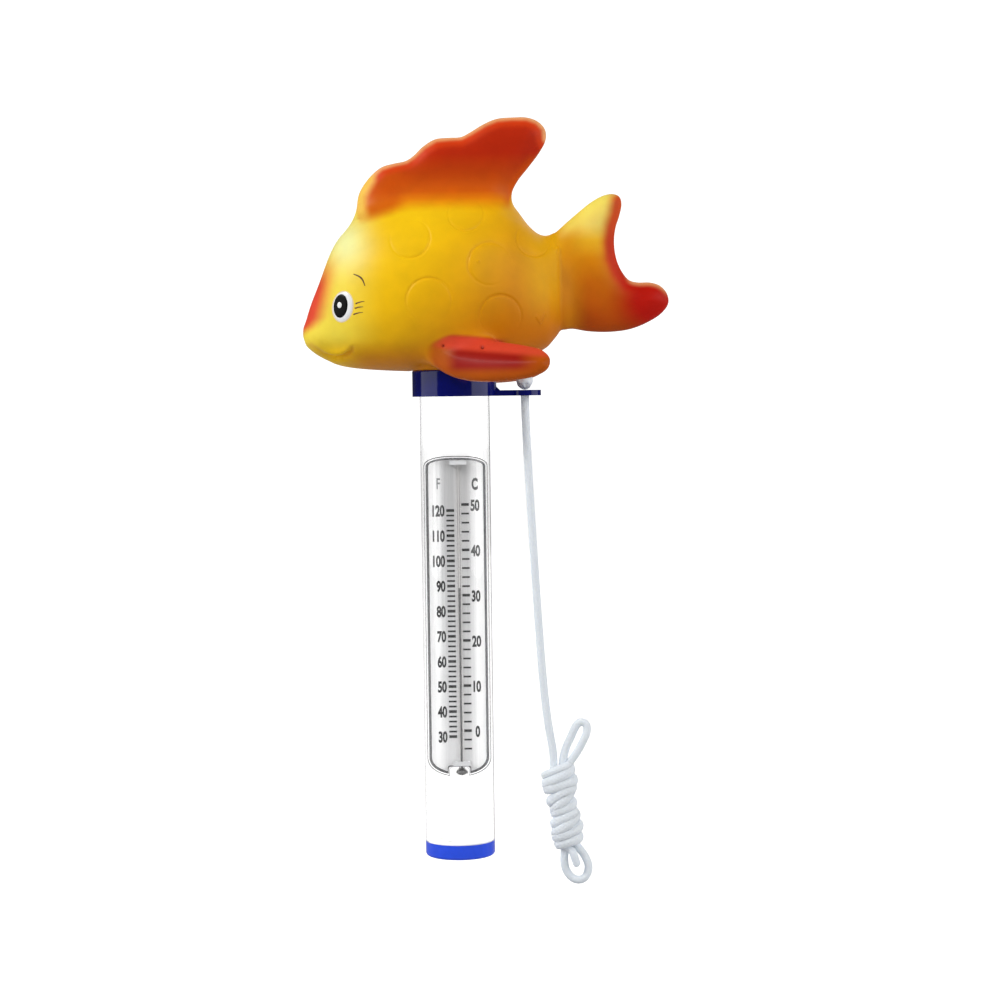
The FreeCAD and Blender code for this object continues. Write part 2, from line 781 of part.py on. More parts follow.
os.makedirs("parts", exist_ok=True)
for thing in subparts:
    thing.Shape.exportStep(f"parts/{thing.Label}.step")
    box = thing.Shape.BoundBox
    print(f"{thing.Label}: {thing.Shape.Volume:.1f} cubic mm, {len(thing.Shape.Solids)} solid,"
          f" x {box.XMin:.2f} {box.XMax:.2f}, y {box.YMin:.2f} {box.YMax:.2f},"
          f" z {box.ZMin:.2f} {box.ZMax:.2f}")
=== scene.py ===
"""Looks of the floating pool thermometer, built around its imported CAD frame.

Shapes are worked out in millimetres.
"""
import math

import bmesh
import bpy
import numpy as np
import openvdb
from mathutils import Matrix, Vector


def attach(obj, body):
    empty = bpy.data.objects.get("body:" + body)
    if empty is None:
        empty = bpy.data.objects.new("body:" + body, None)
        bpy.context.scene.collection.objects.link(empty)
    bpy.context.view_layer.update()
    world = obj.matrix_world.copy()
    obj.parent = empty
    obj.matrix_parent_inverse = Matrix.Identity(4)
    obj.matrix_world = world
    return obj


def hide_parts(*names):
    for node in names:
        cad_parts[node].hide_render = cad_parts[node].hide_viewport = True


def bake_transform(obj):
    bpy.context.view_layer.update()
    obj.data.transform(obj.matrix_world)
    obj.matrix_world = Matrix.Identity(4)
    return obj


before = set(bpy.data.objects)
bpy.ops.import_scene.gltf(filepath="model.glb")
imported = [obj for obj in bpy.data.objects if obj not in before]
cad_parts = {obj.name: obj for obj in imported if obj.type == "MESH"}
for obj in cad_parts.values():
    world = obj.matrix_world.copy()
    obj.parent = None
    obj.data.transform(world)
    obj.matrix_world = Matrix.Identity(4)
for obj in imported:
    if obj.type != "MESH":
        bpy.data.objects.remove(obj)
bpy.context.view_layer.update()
MM = 0.001
THERMOMETER, MENISCUS, TETHER = "thermometer", "meniscus", "tether"

# ---------------------------------------------------------------- materials


def rgb(red, green, blue):
    """Linear colour of an sRGB colour given in 0 to 255."""
    parts = [part / 255 for part in (red, green, blue)]
    linear = [part / 12.92 if part <= 0.04045 else ((part + 0.055) / 1.055) ** 2.4 for part in parts]
    return (*linear, 1.0)


def new_material(name, **sockets):
    """Principled material; sockets are given by their names with underscores for spaces."""
    material = bpy.data.materials.new(name)
    material.use_nodes = True
    shader = material.node_tree.nodes["Principled BSDF"]
    for socket, value in sockets.items():
        shader.inputs[socket.replace("_", " ")].default_value = value
    return material, material.node_tree.nodes, material.node_tree.links, shader


def add_bump(nodes, links, shader, scale, strength, detail=2.0, distance=0.0002):
    """Fine noise relief, its scale in bumps per metre."""
    noise = noise_on(nodes, links, nodes.new("ShaderNodeTexCoord").outputs["Object"], scale, detail)
    bump = nodes.new("ShaderNodeBump")
    bump.inputs["Strength"].default_value = strength
    bump.inputs["Distance"].default_value = distance
    links.new(noise.outputs["Fac"], bump.inputs["Height"])
    links.new(bump.outputs["Normal"], shader.inputs["Normal"])
    return noise


def add_mix(nodes, links, weight, first, second):
    """Colour mix node; weight is a socket, and the colours are sockets or colours."""
    mix = nodes.new("ShaderNodeMix")
    mix.data_type = "RGBA"
    links.new(weight, mix.inputs[0])
    for slot, colour in ((6, first), (7, second)):
        if isinstance(colour, tuple):
            mix.inputs[slot].default_value = colour
        else:
            links.new(colour, mix.inputs[slot])
    return mix.outputs[2]


def mix_shaders(nodes, links, weight, first, second):
    """Mix of two shader sockets by a weight socket."""
    mix = nodes.new("ShaderNodeMixShader")
    links.new(weight, mix.inputs[0])
    links.new(first, mix.inputs[1])
    links.new(second, mix.inputs[2])
    return mix.outputs["Shader"]


def math_node(nodes, links, operation, first, second):
    """Math node on two sockets or numbers."""
    node = nodes.new("ShaderNodeMath")
    node.operation = operation
    for slot, value in enumerate((first, second)):
        if isinstance(value, (int, float)):
            node.inputs[slot].default_value = value
        else:
            links.new(value, node.inputs[slot])
    return node.outputs["Value"]


def map_range(nodes, links, value, source, target=(0, 1)):
    """Map Range node from one span of numbers to another."""
    node = nodes.new("ShaderNodeMapRange")
    for socket, number in zip(("From Min", "From Max", "To Min", "To Max"), (*source, *target)):
        node.inputs[socket].default_value = number
    links.new(value, node.inputs["Value"])
    return node


def noise_on(nodes, links, vector, scale, detail):
    """Noise texture node on a vector socket."""
    noise = nodes.new("ShaderNodeTexNoise")
    noise.inputs["Scale"].default_value = scale
    noise.inputs["Detail"].default_value = detail
    links.new(vector, noise.inputs["Vector"])
    return noise


# ---------------------------------------------------------------- mesh helpers


def new_object(name, mesh, material, body, smooth=True):
    piece = bpy.data.objects.new(name, mesh)
    bpy.context.scene.collection.objects.link(piece)
    mesh.materials.append(material)
    if smooth:
        mesh.polygons.foreach_set("use_smooth", [True] * len(mesh.polygons))
    if body is not None:
        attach(piece, body)
    return piece


def smoothstep(low, high, value):
    share = np.clip((value - low) / (high - low), 0, 1)
    return share * share * (3 - 2 * share)


def natural_spline(knots, values):
    """A cubic curve through points, with no bending at its ends, as a function of an array."""
    knots, values = np.asarray(knots, float), np.asarray(values, float)
    gaps = np.diff(knots)
    count = len(knots)
    system = np.eye(count)
    right = np.zeros(count)
    for k in range(1, count - 1):
        system[k, k - 1:k + 2] = gaps[k - 1], 2 * (gaps[k - 1] + gaps[k]), gaps[k]
        right[k] = 6 * ((values[k + 1] - values[k]) / gaps[k] - (values[k] - values[k - 1]) / gaps[k - 1])
    bend = np.linalg.solve(system, right)

    def curve(at):
        k = np.clip(np.searchsorted(knots, at) - 1, 0, count - 2)
        gap, before, after = gaps[k], knots[k + 1] - at, at - knots[k]
        cubic = (bend[k] * before ** 3 + bend[k + 1] * after ** 3) / (6 * gap)
        linear = (values[k] / gap - bend[k] * gap / 6) * before
        return cubic + linear + (values[k + 1] / gap - bend[k + 1] * gap / 6) * after

    return curve


def closed_curve(points, per_span=14):
    """Dense points of a closed centripetal Catmull-Rom curve through the given corners."""
    corners = np.asarray(points, float)
    count = len(corners)
    dense = []
    for k in range(count):
        p0, p1, p2, p3 = (corners[(k + step) % count] for step in (-1, 0, 1, 2))
        t1 = math.sqrt(np.linalg.norm(p1 - p0))
        t2 = t1 + math.sqrt(np.linalg.norm(p2 - p1))
        t3 = t2 + math.sqrt(np.linalg.norm(p3 - p2))
        for t in np.linspace(t1, t2, per_span, endpoint=False):
            a1 = (t1 - t) / t1 * p0 + t / t1 * p1
            a2 = (t2 - t) / (t2 - t1) * p1 + (t - t1) / (t2 - t1) * p2
            a3 = (t3 - t) / (t3 - t2) * p2 + (t - t2) / (t3 - t2) * p3
            b1 = (t2 - t) / t2 * a1 + t / t2 * a2
            b2 = (t3 - t) / (t3 - t1) * a2 + (t - t1) / (t3 - t1) * a3
            dense.append((t2 - t) / (t2 - t1) * b1 + (t - t1) / (t2 - t1) * b2)
    return np.array(dense)


def outline_distance(outline, across, up):
    """Signed distance from points to a closed outline, negative inside."""
    start = outline
    step = np.roll(outline, -1, axis=0) - start
    points = np.stack([np.ravel(across), np.ravel(up)], axis=1)
    nearest = np.full(len(points), 1e9)
    crossings = np.zeros(len(points), int)
    for origin, span in zip(start, step):
        away = points - origin
        share = np.clip(away @ span / max(span @ span, 1e-12), 0, 1)
        nearest = np.minimum(nearest, np.hypot(*(away - share[:, None] * span).T))
        straddles = (away[:, 1] >= 0) != (away[:, 1] - span[1] >= 0)
        rise = np.where(abs(span[1]) < 1e-12, 1e-12, span[1])
        crossings += straddles & (away[:, 0] < away[:, 1] / rise * span[0])
    return (np.where(crossings % 2 == 1, -1, 1) * nearest).reshape(np.shape(across))


def smooth_union(first, second, width):
    share = np.clip(0.5 + 0.5 * (second - first) / width, 0, 1)
    return second * (1 - share) + first * share - width * share * (1 - share)


# ---------------------------------------------------------------- fish

# Trunk from nose to tail root: (x, bottom, top, half width)
TRUNK = [
    (-47.7, 3.4, 6.8, 2.6),
    (-47.0, 1.4, 9.2, 5.6),
    (-45.3, -0.4, 14.2, 9.0),
    (-42.0, -3.2, 22.4, 12.6),
    (-38.0, -5.4, 32.0, 15.8),
    (-33.0, -6.6, 38.0, 18.8),
    (-24.0, -7.5, 43.6, 22.2),
    (-11.0, -8.1, 46.6, 24.2),
    (3.0, -8.1, 47.2, 24.0),
    (14.0, -6.9, 45.4, 21.8),
    (22.5, -4.4, 39.8, 18.0),
    (29.0, -1.4, 33.6, 12.6),
    (32.4, 3.0, 29.0, 8.0),
    (34.0, 8.0, 25.0, 4.0),
]
NOSE = TRUNK[0][0]
RUMP = TRUNK[-1][0]

DORSAL_OUTLINE = [
    (-28.5, 38.0), (-29.9, 43.8), (-29.9, 48.2), (-27.0, 53.2), (-22.5, 57.2), (-18.5, 58.4), (-14.6, 59.2),
    (-12.2, 60.7), (-9.0, 63.7), (-5.0, 66.0), (-0.5, 66.4), (3.2, 66.6), (6.4, 68.2), (10.5, 70.6),
    (14.6, 72.2), (19.5, 72.6), (24.4, 72.5), (27.8, 71.2), (30.1, 68.6), (30.3, 65.4), (28.4, 61.6),
    (24.6, 56.6), (21.2, 52.4), (19.0, 48.2), (18.3, 44.6), (19.0, 40.0), (12.0, 34.0), (-20.0, 32.0),
]
TAIL_OUTLINE = [
    (26.0, 27.0), (30.4, 33.2), (34.6, 37.2), (39.6, 41.5), (44.6, 45.4), (48.4, 47.4), (51.6, 47.9),
    (53.6, 47.0), (54.3, 44.8), (53.6, 41.0), (52.3, 37.0), (51.8, 32.4), (52.4, 27.4), (54.0, 23.4),
    (56.4, 20.4), (59.0, 19.6), (63.2, 19.5), (66.4, 18.4), (68.6, 15.8), (69.0, 12.8), (67.0, 9.8),
    (62.4, 6.8), (56.6, 4.6), (50.0, 3.8), (43.0, 4.1), (37.0, 5.2), (31.0, 5.6), (24.0, 12.0),
]
DORSAL_TOP = DORSAL_OUTLINE[1:20]
TAIL_REAR = TAIL_OUTLINE[8:15]
SIDE_FIN_OUTLINE = [
    (-7.6, -2.6), (-6.2, 0.6), (-2.2, 2.1), (4.0, 1.9), (11.0, 1.1), (17.6, 0.1), (23.4, -1.0), (27.6, -2.3),
    (30.0, -4.9), (29.4, -8.0), (25.6, -10.3), (19.0, -11.5), (11.6, -11.9), (4.2, -11.3), (-1.6, -9.4),
    (-5.8, -6.4),
]
GRID = 0.6
GRID_LOW = np.array([-50.4, -39.6, -15.6])
GRID_HIGH = np.array([71.4, 39.6, 75.0])


def trunk_field(x, y, z):
    """Roughly the distance to the trunk, whose sections are ovals a little wider below."""
    table = np.array(TRUNK)
    knots = np.sqrt(table[:, 0] - NOSE + 0.05)
    at = np.sqrt(np.clip(x, NOSE, RUMP) - NOSE + 0.05)
    bottom, top, wide = (natural_spline(knots, table[:, k])(at) for k in (1, 2, 3))
    middle, tall = (bottom + top) / 2, (top - bottom) / 2
    level = np.clip((z - middle) / tall, -1, 1)
    across = np.abs(y) / (wide * (1 - 0.10 * level))
    ring = (np.abs((z - middle) / tall) ** 2.2 + across ** 2.2) ** (1 / 2.2)
    inner = (ring - 1) * np.minimum(tall, wide)
    beyond = np.maximum(np.abs(x - np.clip(x, NOSE, RUMP)), 0)
    return np.where(beyond > 0, np.hypot(np.maximum(inner, 0), beyond), inner)


def blade_field(depth, side, rim, half_thickness):
    """Slab whose rim is half an ellipse: depth is the distance to the outline, negative inside."""
    return (np.hypot(np.maximum(1 + depth / rim, 0), side / half_thickness) - 1) * min(rim, half_thickness)


def ellipsoid_field(x, y, z, middle, radii):
    away = [(p - m) / r for p, m, r in zip((x, y, z), middle, radii)]
    return (np.sqrt(sum(part ** 2 for part in away)) - 1) * min(radii)


def side_fin_plane(x, z):
    """How far from the middle plane a side fin's middle surface lies."""
    return 14.5 + 0.52 * (x + 5) - 0.50 * (z + 2)


def true_distance(field):
    """The field divided by its slope, which is near the distance close to the surface."""
    slopes = np.gradient(field, GRID)
    return field / np.maximum(np.sqrt(sum(slope ** 2 for slope in slopes)), 0.25)


def fish_field(axes):
    """Distance to the fish's skin on the grid."""
    x, y, z = np.meshgrid(*axes, indexing="ij", sparse=True)
    flat_x, flat_z = np.meshgrid(axes[0], axes[2], indexing="ij")
    depths = {
        name: outline_distance(closed_curve(points), flat_x, flat_z)[:, None, :]
        for name, points in (("dorsal", DORSAL_OUTLINE), ("tail", TAIL_OUTLINE), ("side", SIDE_FIN_OUTLINE))
    }
    body = true_distance(trunk_field(x, y, z))
    snout = true_distance(ellipsoid_field(x, y, z, (-40.6, 0, 3.4), (6.4, 12.4, 5.4)))
    body = smooth_union(body, snout, 3.0)
    neck = np.maximum(np.hypot(x, y) - 13.3, np.abs(z + 1.8) - 6.0) + 0 * z
    body = smooth_union(body, neck, 2.0)
    dorsal = true_distance(blade_field(depths["dorsal"], y, 7.5, 4.2) + 0 * y)
    tail = true_distance(blade_field(depths["tail"], y, 8.0, 4.4) + 0 * y)
    outward = np.abs(y) - side_fin_plane(x, z)
    side = true_distance(blade_field(depths["side"], outward * 0.80, 8.0, 4.4))
    whole = smooth_union(body, dorsal, 7.0)
    whole = smooth_union(whole, tail, 6.0)
    whole = smooth_union(whole, side, 5.0)
    bore = np.maximum(np.hypot(x, y) - 9.1, np.abs(z + 2) - 6.2) + 0 * z
    below = np.maximum(np.hypot(x, y) - 14.4, z + 7.8)
    return np.maximum(np.maximum(whole, -bore), -below)


class GridField:
    """A field sampled on the grid, read between its points."""

    def __init__(self, values):
        self.values = values
        self.slopes = np.stack(np.gradient(values, GRID), axis=-1)

    def read(self, table, points):
        place = (points - GRID_LOW) / GRID
        cell = np.clip(np.floor(place).astype(int), 0, np.array(table.shape[:3]) - 2)
        share = place - cell
        total = 0
        for corner in np.ndindex(2, 2, 2):
            weight = np.prod([share[:, k] if corner[k] else 1 - share[:, k] for k in range(3)], axis=0)
            value = table[cell[:, 0] + corner[0], cell[:, 1] + corner[1], cell[:, 2] + corner[2]]
            total = total + (weight[:, None] * value if value.ndim > 1 else weight * value)
        return total

    def normal(self, points):
        slope = self.read(self.slopes, points)
        return slope / np.linalg.norm(slope, axis=1, keepdims=True)

    def onto(self, points, steps=3):
        """The points moved onto the surface."""
        for _ in range(steps):
            slope = self.read(self.slopes, points)
            size = np.maximum(np.sum(slope ** 2, axis=1), 0.2)
            points = points - slope * (self.read(self.values, points) / size)[:, None]
        return points


# Engraved rings of the scales on each flank:
# (x, z, radius, direction of the deepest part in degrees, how much of it)
SCALE_RINGS = [
    (-12.9, 33.2, 6.3, -50, 0.85),
    (4.6, 41.0, 5.6, -90, 0.75),
    (11.9, 24.9, 6.7, 160, 1.0),
    (25.9, 33.2, 5.5, -105, 0.8),
    (-7.1, 13.5, 7.1, 110, 1.0),
    (15.1, 8.7, 6.5, 85, 0.9),
]
MOUTH = [
    (-45.0, 0.4), (-43.1, -0.8), (-41.3, -2.3), (-39.5, -3.2), (-37.4, -3.7), (-35.3, -3.5), (-33.5, -2.7),
    (-32.2, -1.6), (-31.7, -0.8),
]
# Small marks of the mould: (x, z, radius, height)
MOULD_MARKS = [
    (-2.9, -0.5, 0.42, -0.50),
    (9.3, -1.1, 0.55, -0.60),
    (8.3, 25.5, 0.35, 0.30),
    (33.3, 30.2, 0.75, 0.42),
    (-29.6, 40.2, 0.50, 0.40),
]
CHECK_MARK = [(26.4, 8.4), (27.6, 6.6), (29.0, 9.2)]


def open_distance(points, x, z):
    """Distance from (x, z) to an open line, and the share of the line's length passed."""
    route = np.array(points, float)
    nearest = np.full(len(x), 1e9)
    passed = np.zeros(len(x))
    count = len(route) - 1
    for k in range(count):
        origin, span = route[k], route[k + 1] - route[k]
        away = np.stack([x, z], axis=1) - origin
        share = np.clip(away @ span / (span @ span), 0, 1)
        gap = np.hypot(*(away - share[:, None] * span).T)
        closer = gap < nearest
        nearest = np.where(closer, gap, nearest)
        passed = np.where(closer, (k + share) / count, passed)
    return nearest, passed


def relief(points):
    """How far each point of the skin stands in or out, in millimetres, for the scales and the mouth."""
    x, _, z = points.T
    height = np.zeros(len(points))
    for across, up, radius, deepest, amount in SCALE_RINGS:
        away = np.hypot(x - across, z - up)
        turn = np.arctan2(z - up, x - across) - math.radians(deepest)
        strength = amount * (0.03 + 0.97 * (0.5 + 0.5 * np.cos(turn)) ** 1.2)
        height -= 0.34 * strength * np.exp(-((away - radius) / 0.40) ** 2)
        height += 0.10 * strength * smoothstep(radius, radius - 2.2, away)
    gap, passed = open_distance(MOUTH, x, z)
    depth = (np.sin(np.clip(passed, 0.04, 0.97) * math.pi) ** 0.5
             * (0.3 + 0.7 * smoothstep(0.12, 0.45, passed)))
    height -= 1.15 * depth * np.exp(-(gap / 0.75) ** 2)
    lip = np.interp(x, *np.array(MOUTH).T) + 1.9
    height += 0.55 * depth * np.exp(-((z - lip) / 1.3) ** 2) * smoothstep(4.0, 1.0, gap)
    for across, up, radius, raised in MOULD_MARKS:
        height += raised * np.exp(-(np.hypot(x - across, z - up) / radius) ** 2)
    gap, _ = open_distance(CHECK_MARK, x, z)
    height += 0.30 * np.exp(-(gap / 0.32) ** 2)
    return height


def make_fish_mesh():
    axes = [np.arange(low, high + GRID / 2, GRID) for low, high in zip(GRID_LOW, GRID_HIGH)]
    values = fish_field(axes)
    field = GridField(values)
    volume = openvdb.FloatGrid(3.0)
    volume.copyFromArray(np.clip(values, -3, 3))
    points, quads = volume.convertToQuads(0.0)
    points = field.onto(np.array(points) * GRID + GRID_LOW, steps=2)
    mesh = bpy.data.meshes.new("fish_skin")
    mesh.from_pydata((points * MM).tolist(), [], np.array(quads)[:, ::-1].tolist())
    mesh.validate()
    return mesh, field


def refine_near(mesh, keep_face):
    """Split the edges of the chosen faces in two."""
    grid = bmesh.new()
    grid.from_mesh(mesh)
    middles = np.array([face.calc_center_median() for face in grid.faces]) / MM
    chosen = keep_face(middles)
    grid.faces.ensure_lookup_table()
    edges = {edge for k in np.flatnonzero(chosen) for edge in grid.faces[k].edges}
    bmesh.ops.subdivide_edges(grid, edges=list(edges), cuts=1, use_grid_fill=True)
    grid.to_mesh(mesh)
    grid.free()


def mesh_points(mesh):
    points = np.empty(len(mesh.vertices) * 3, np.float32)
    mesh.vertices.foreach_get("co", points)
    return points.reshape(-1, 3).astype(float) / MM


def near_relief(points):
    x, _, z = points.T
    near = np.zeros(len(points), bool)
    for across, up, radius, _, _ in SCALE_RINGS:
        near |= np.abs(np.hypot(x - across, z - up) - radius) < 1.5
    for across, up, _, _ in MOULD_MARKS:
        near |= np.hypot(x - across, z - up) < 1.6
    for line, reach in ((MOUTH, 3.4), (CHECK_MARK, 1.0)):
        near |= open_distance(line, x, z)[0] < reach
    return near


# Airbrushed colours of the fish in sRGB, and colours of painted light and shade
YELLOW = (255, 204, 8)
AMBER = (212, 118, 0)
PALE_YELLOW_HIGHLIGHT = (255, 236, 96)
DEEP_RED = (190, 8, 0)
RED = (196, 18, 1)
RED_ORANGE = (228, 66, 14)
PINK_HIGHLIGHT = (232, 76, 50)
PEACH_HIGHLIGHT = (255, 190, 124)
ORANGE = (214, 84, 1)
BURNT_SHADE = (182, 72, 0)
PIT_SHADE = (110, 8, 4)
CORAL = (240, 80, 54)
WINE = (158, 6, 0)
VERMILION = (214, 56, 4)
DARK_HONEY = (230, 150, 10)
HONEY_HIGHLIGHT = (255, 206, 84)
CREAM_HIGHLIGHT = (255, 252, 170)
LEMON_HIGHLIGHT = (255, 232, 80)
# Shades of the dorsal fin and the tail from their lowest level to their highest: (level, colour)
DORSAL_SHADES = [(45.5, (240, 136, 10)), (49.0, (214, 88, 2)), (55.0, (196, 56, 0)), (61.0, (190, 12, 0))]
TAIL_SHADES = [(8.0, (188, 74, 0)), (20.0, (205, 103, 0)), (27.0, (224, 136, 0)), (33.0, (250, 190, 36)),
               (38.0, (255, 226, 110))]


def linear(colour):
    return np.array(rgb(*colour)[:3])


def blend_colour(base, colour, weight):
    """Colours moved towards one sRGB colour, or towards an array of linear ones."""
    target = linear(colour) if isinstance(colour, tuple) else colour
    return base + (target - base) * np.clip(weight, 0, 1)[:, None]


def shade_by_height(z, shades):
    levels = [level for level, _ in shades]
    colours = np.array([linear(colour) for _, colour in shades])
    return np.stack([np.interp(z, levels, colours[:, k]) for k in range(3)], axis=1)


def fish_paint(points):
    """Airbrushed colour at each point of the skin, with painted light and shade laid over it."""
    x, y, z = points.T
    depth = {
        name: outline_distance(closed_curve(outline, 5), x, z)
        for name, outline in (("dorsal", DORSAL_OUTLINE), ("tail", TAIL_OUTLINE), ("side", SIDE_FIN_OUTLINE))
    }
    colour = np.tile(linear(YELLOW), (len(points), 1))
    # Darker amber towards the lower rear: partly airbrushed paint, partly painted shade on the side away
    # from the lamps
    low = 0.62 * (x + 35) / 65 + 0.38 * (42 - z) / 50
    colour = blend_colour(colour, AMBER, smoothstep(0.20, 0.92, low)
                          * (1 - 0.45 * smoothstep(18, 29, x) * smoothstep(2, 20, z)))
    # Painted light: the front of the head turned lemon-pale where the lamps shine on it
    colour = blend_colour(colour, LEMON_HIGHLIGHT, smoothstep(-20, -38, x) * smoothstep(-3, 4, z) * 0.85)
    # Painted highlight: a cream glow on the forehead
    forehead_highlight = np.exp(-((x + 33.5) / 6.5) ** 2 - ((z - 32.5) / 8.0) ** 2)
    colour = blend_colour(colour, CREAM_HIGHLIGHT, forehead_highlight)
    # Painted shade: amber under the jaw
    jaw_shade = smoothstep(3.0, -5.5, z) * smoothstep(-38, -26, x)
    colour = blend_colour(colour, AMBER, jaw_shade * 0.75)

    # Dorsal fin: orange at its root, redder with height, with a pale rim and a pale front edge that are
    # painted highlights
    root = 40.4 + 3.6 * smoothstep(-27, -12, x)
    fin = smoothstep(root - 2.6, root + 3.0, z) * smoothstep(1.0, -0.5, depth["dorsal"])
    top_gap, _ = open_distance(DORSAL_TOP, x, z)
    colour = blend_colour(colour, shade_by_height(z, DORSAL_SHADES), fin * smoothstep(-30.5, -25, x) * 0.97)
    colour = blend_colour(colour, ORANGE, fin * smoothstep(-13, -19, x) * 0.7)
    colour = blend_colour(colour, RED_ORANGE,
                          fin * smoothstep(4.4, 1.8, top_gap) * smoothstep(-29.5, -25, x) * 0.8)
    # Painted highlight: peach rim along the fin's top
    colour = blend_colour(colour, PEACH_HIGHLIGHT, fin * smoothstep(1.9, 0.2, top_gap) * 0.8)
    colour = blend_colour(colour, ORANGE,
                          fin * smoothstep(3.0, 0.4, -depth["dorsal"]) * smoothstep(5, 9, top_gap) * 0.5)
    # Painted highlight: pale honey along the fin's front edge
    front_gap, _ = open_distance(DORSAL_OUTLINE[:4], x, z)
    colour = blend_colour(colour, HONEY_HIGHLIGHT, fin * smoothstep(4.2, 0.8, front_gap) * 0.9)

    # Tail: brown-amber below, pale yellow at the top, red trailing edge, deep red lower lobe; its pale front
    # edge and the lower lobe's pale rim are painted highlights
    tail = smoothstep(32.4, 37.4, x) * smoothstep(1.5, -0.5, depth["tail"])
    colour = blend_colour(colour, shade_by_height(z, TAIL_SHADES), tail * 0.95)
    colour = blend_colour(colour, DARK_HONEY, tail * smoothstep(44, 36, x) * 0.7)
    # Painted highlight: pale yellow along the tail's upper front edge
    front_edge_highlight = tail * smoothstep(-6.0, -0.8, depth["tail"]) * smoothstep(32, 38, z) * smoothstep(53, 48, x)
    colour = blend_colour(colour, PALE_YELLOW_HIGHLIGHT, front_edge_highlight * 0.7)
    rear_gap, _ = open_distance(TAIL_REAR, x, z)
    colour = blend_colour(colour, VERMILION, tail * smoothstep(5.8, 1.6, rear_gap) * 0.95)
    colour = blend_colour(colour, RED, tail * smoothstep(4.5, 2.2, rear_gap) * smoothstep(42, 30, z) * 0.5)
    lobe = tail * smoothstep(18.0, 6.5, np.hypot(x - 65.5, (z - 14.0) * 1.15))
    colour = blend_colour(colour, DEEP_RED, lobe * 0.97)
    # Painted highlight: peach along the top edge of the lower lobe
    lobe_rim_highlight = tail * smoothstep(-2.0, 0.2, depth["tail"]) * smoothstep(54, 58, x) * smoothstep(14, 18.4, z)
    colour = blend_colour(colour, PEACH_HIGHLIGHT, lobe_rim_highlight * 0.75)

    # Side fins: deep red middle; the pink-red upper band is a painted highlight on the up-facing side, and
    # the burnt orange lower edge is painted shade on the down-facing side
    outward = np.abs(y) - side_fin_plane(x, z)
    side = (smoothstep(1.5, -0.5, depth["side"]) * smoothstep(9.0, 7.0, np.abs(outward))
            * smoothstep(-10, -5, x))
    side *= smoothstep(15, 19, np.abs(y))
    # Painted shade: burnt orange over the fin, which stays showing on its lower edge
    colour = blend_colour(colour, BURNT_SHADE, side * 0.8)
    reach = smoothstep(-3.5, 2.0, x) * smoothstep(28, 19, x)
    colour = blend_colour(colour, WINE, side * reach * smoothstep(-9.8, -6.6, z) * 0.97)
    # Painted highlight: pink-red band along the fin's upper side
    painted_light_band = smoothstep(-3.4, -1.2, z + 0.10 * (x - 8))
    colour = blend_colour(colour, PINK_HIGHLIGHT, side * painted_light_band * smoothstep(-8, -2, x) * 0.85)

    # Red patch over the ridge of the nose
    patch_edge = np.interp(z, (3, 6, 9, 14, 18, 23, 27.5, 31),
                           (-50, -45, -41.6, -40.2, -39.3, -37.9, -36.8, -36.6))
    patch = (smoothstep(patch_edge + 3.6, patch_edge - 3.4, x) * smoothstep(31.5, 18.0, z)
             * smoothstep(1.0, 7.0, z))
    colour = blend_colour(colour, CORAL, patch)

    # Painted shade: dark red in the pits of the side fins, and amber in the mouth's groove
    for across, up, radius, _ in MOULD_MARKS[:2]:
        colour = blend_colour(colour, PIT_SHADE, 0.8 * np.exp(-(np.hypot(x - across, z - up) / radius) ** 2))
    mouth_gap, _ = open_distance(MOUTH, x, z)
    colour = blend_colour(colour, AMBER, 0.22 * np.exp(-(mouth_gap / 0.8) ** 2))
    return colour


CLOUD_SHADES = (0.93, 1.05)
VINYL_ROUGHNESS = (0.38, 0.46)


def make_fish():
    """The whole float: skin with engraved scales and a mouth, painted in airbrushed colours with painted
    light and shade.
    """
    mesh, field = make_fish_mesh()
    refine_near(mesh, near_relief)
    refine_near(mesh, lambda middles: near_relief(middles) & (np.abs(middles[:, 1]) > 3))
    points = field.onto(mesh_points(mesh), steps=2)
    normals = field.normal(points)
    colours = np.ones((len(points), 4))
    colours[:, :3] = fish_paint(points)
    raised = points + normals * relief(points)[:, None]
    mesh.vertices.foreach_set("co", (raised * MM).astype(np.float32).ravel())
    paint = mesh.color_attributes.new("paint", "FLOAT_COLOR", "POINT")
    paint.data.foreach_set("color", colours.astype(np.float32).ravel())
    mesh.update()
    # The vinyl's colour attribute holds airbrushed paint together with painted light and shade
    material, nodes, links, shader = new_material("vinyl_airbrush_and_painted_light", Specular_IOR_Level=0.14)
    shader.inputs["Subsurface Weight"].default_value = 0.03
    shader.inputs["Subsurface Radius"].default_value = (0.9, 0.45, 0.2)
    shader.inputs["Subsurface Scale"].default_value = 0.002
    colour = nodes.new("ShaderNodeVertexColor")
    colour.layer_name = "paint"
    mottle = add_bump(nodes, links, shader, scale=900.0, strength=0.10, detail=4.0, distance=0.00012)
    cloud = noise_on(nodes, links, nodes.new("ShaderNodeTexCoord").outputs["Object"], 130.0, 5.0)
    spread = map_range(nodes, links, cloud.outputs["Fac"], (0.3, 0.7), CLOUD_SHADES)
    shade = nodes.new("ShaderNodeVectorMath")
    shade.operation = "SCALE"
    links.new(colour.outputs["Color"], shade.inputs[0])
    links.new(spread.outputs["Result"], shade.inputs["Scale"])
    links.new(shade.outputs["Vector"], shader.inputs["Base Color"])
    gloss = map_range(nodes, links, mottle.outputs["Fac"], (0, 1), VINYL_ROUGHNESS)
    links.new(gloss.outputs["Result"], shader.inputs["Roughness"])
    skin = new_object("fish_skin", mesh, material, THERMOMETER)
    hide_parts("float_shell")
    return field


# ---------------------------------------------------------------- face


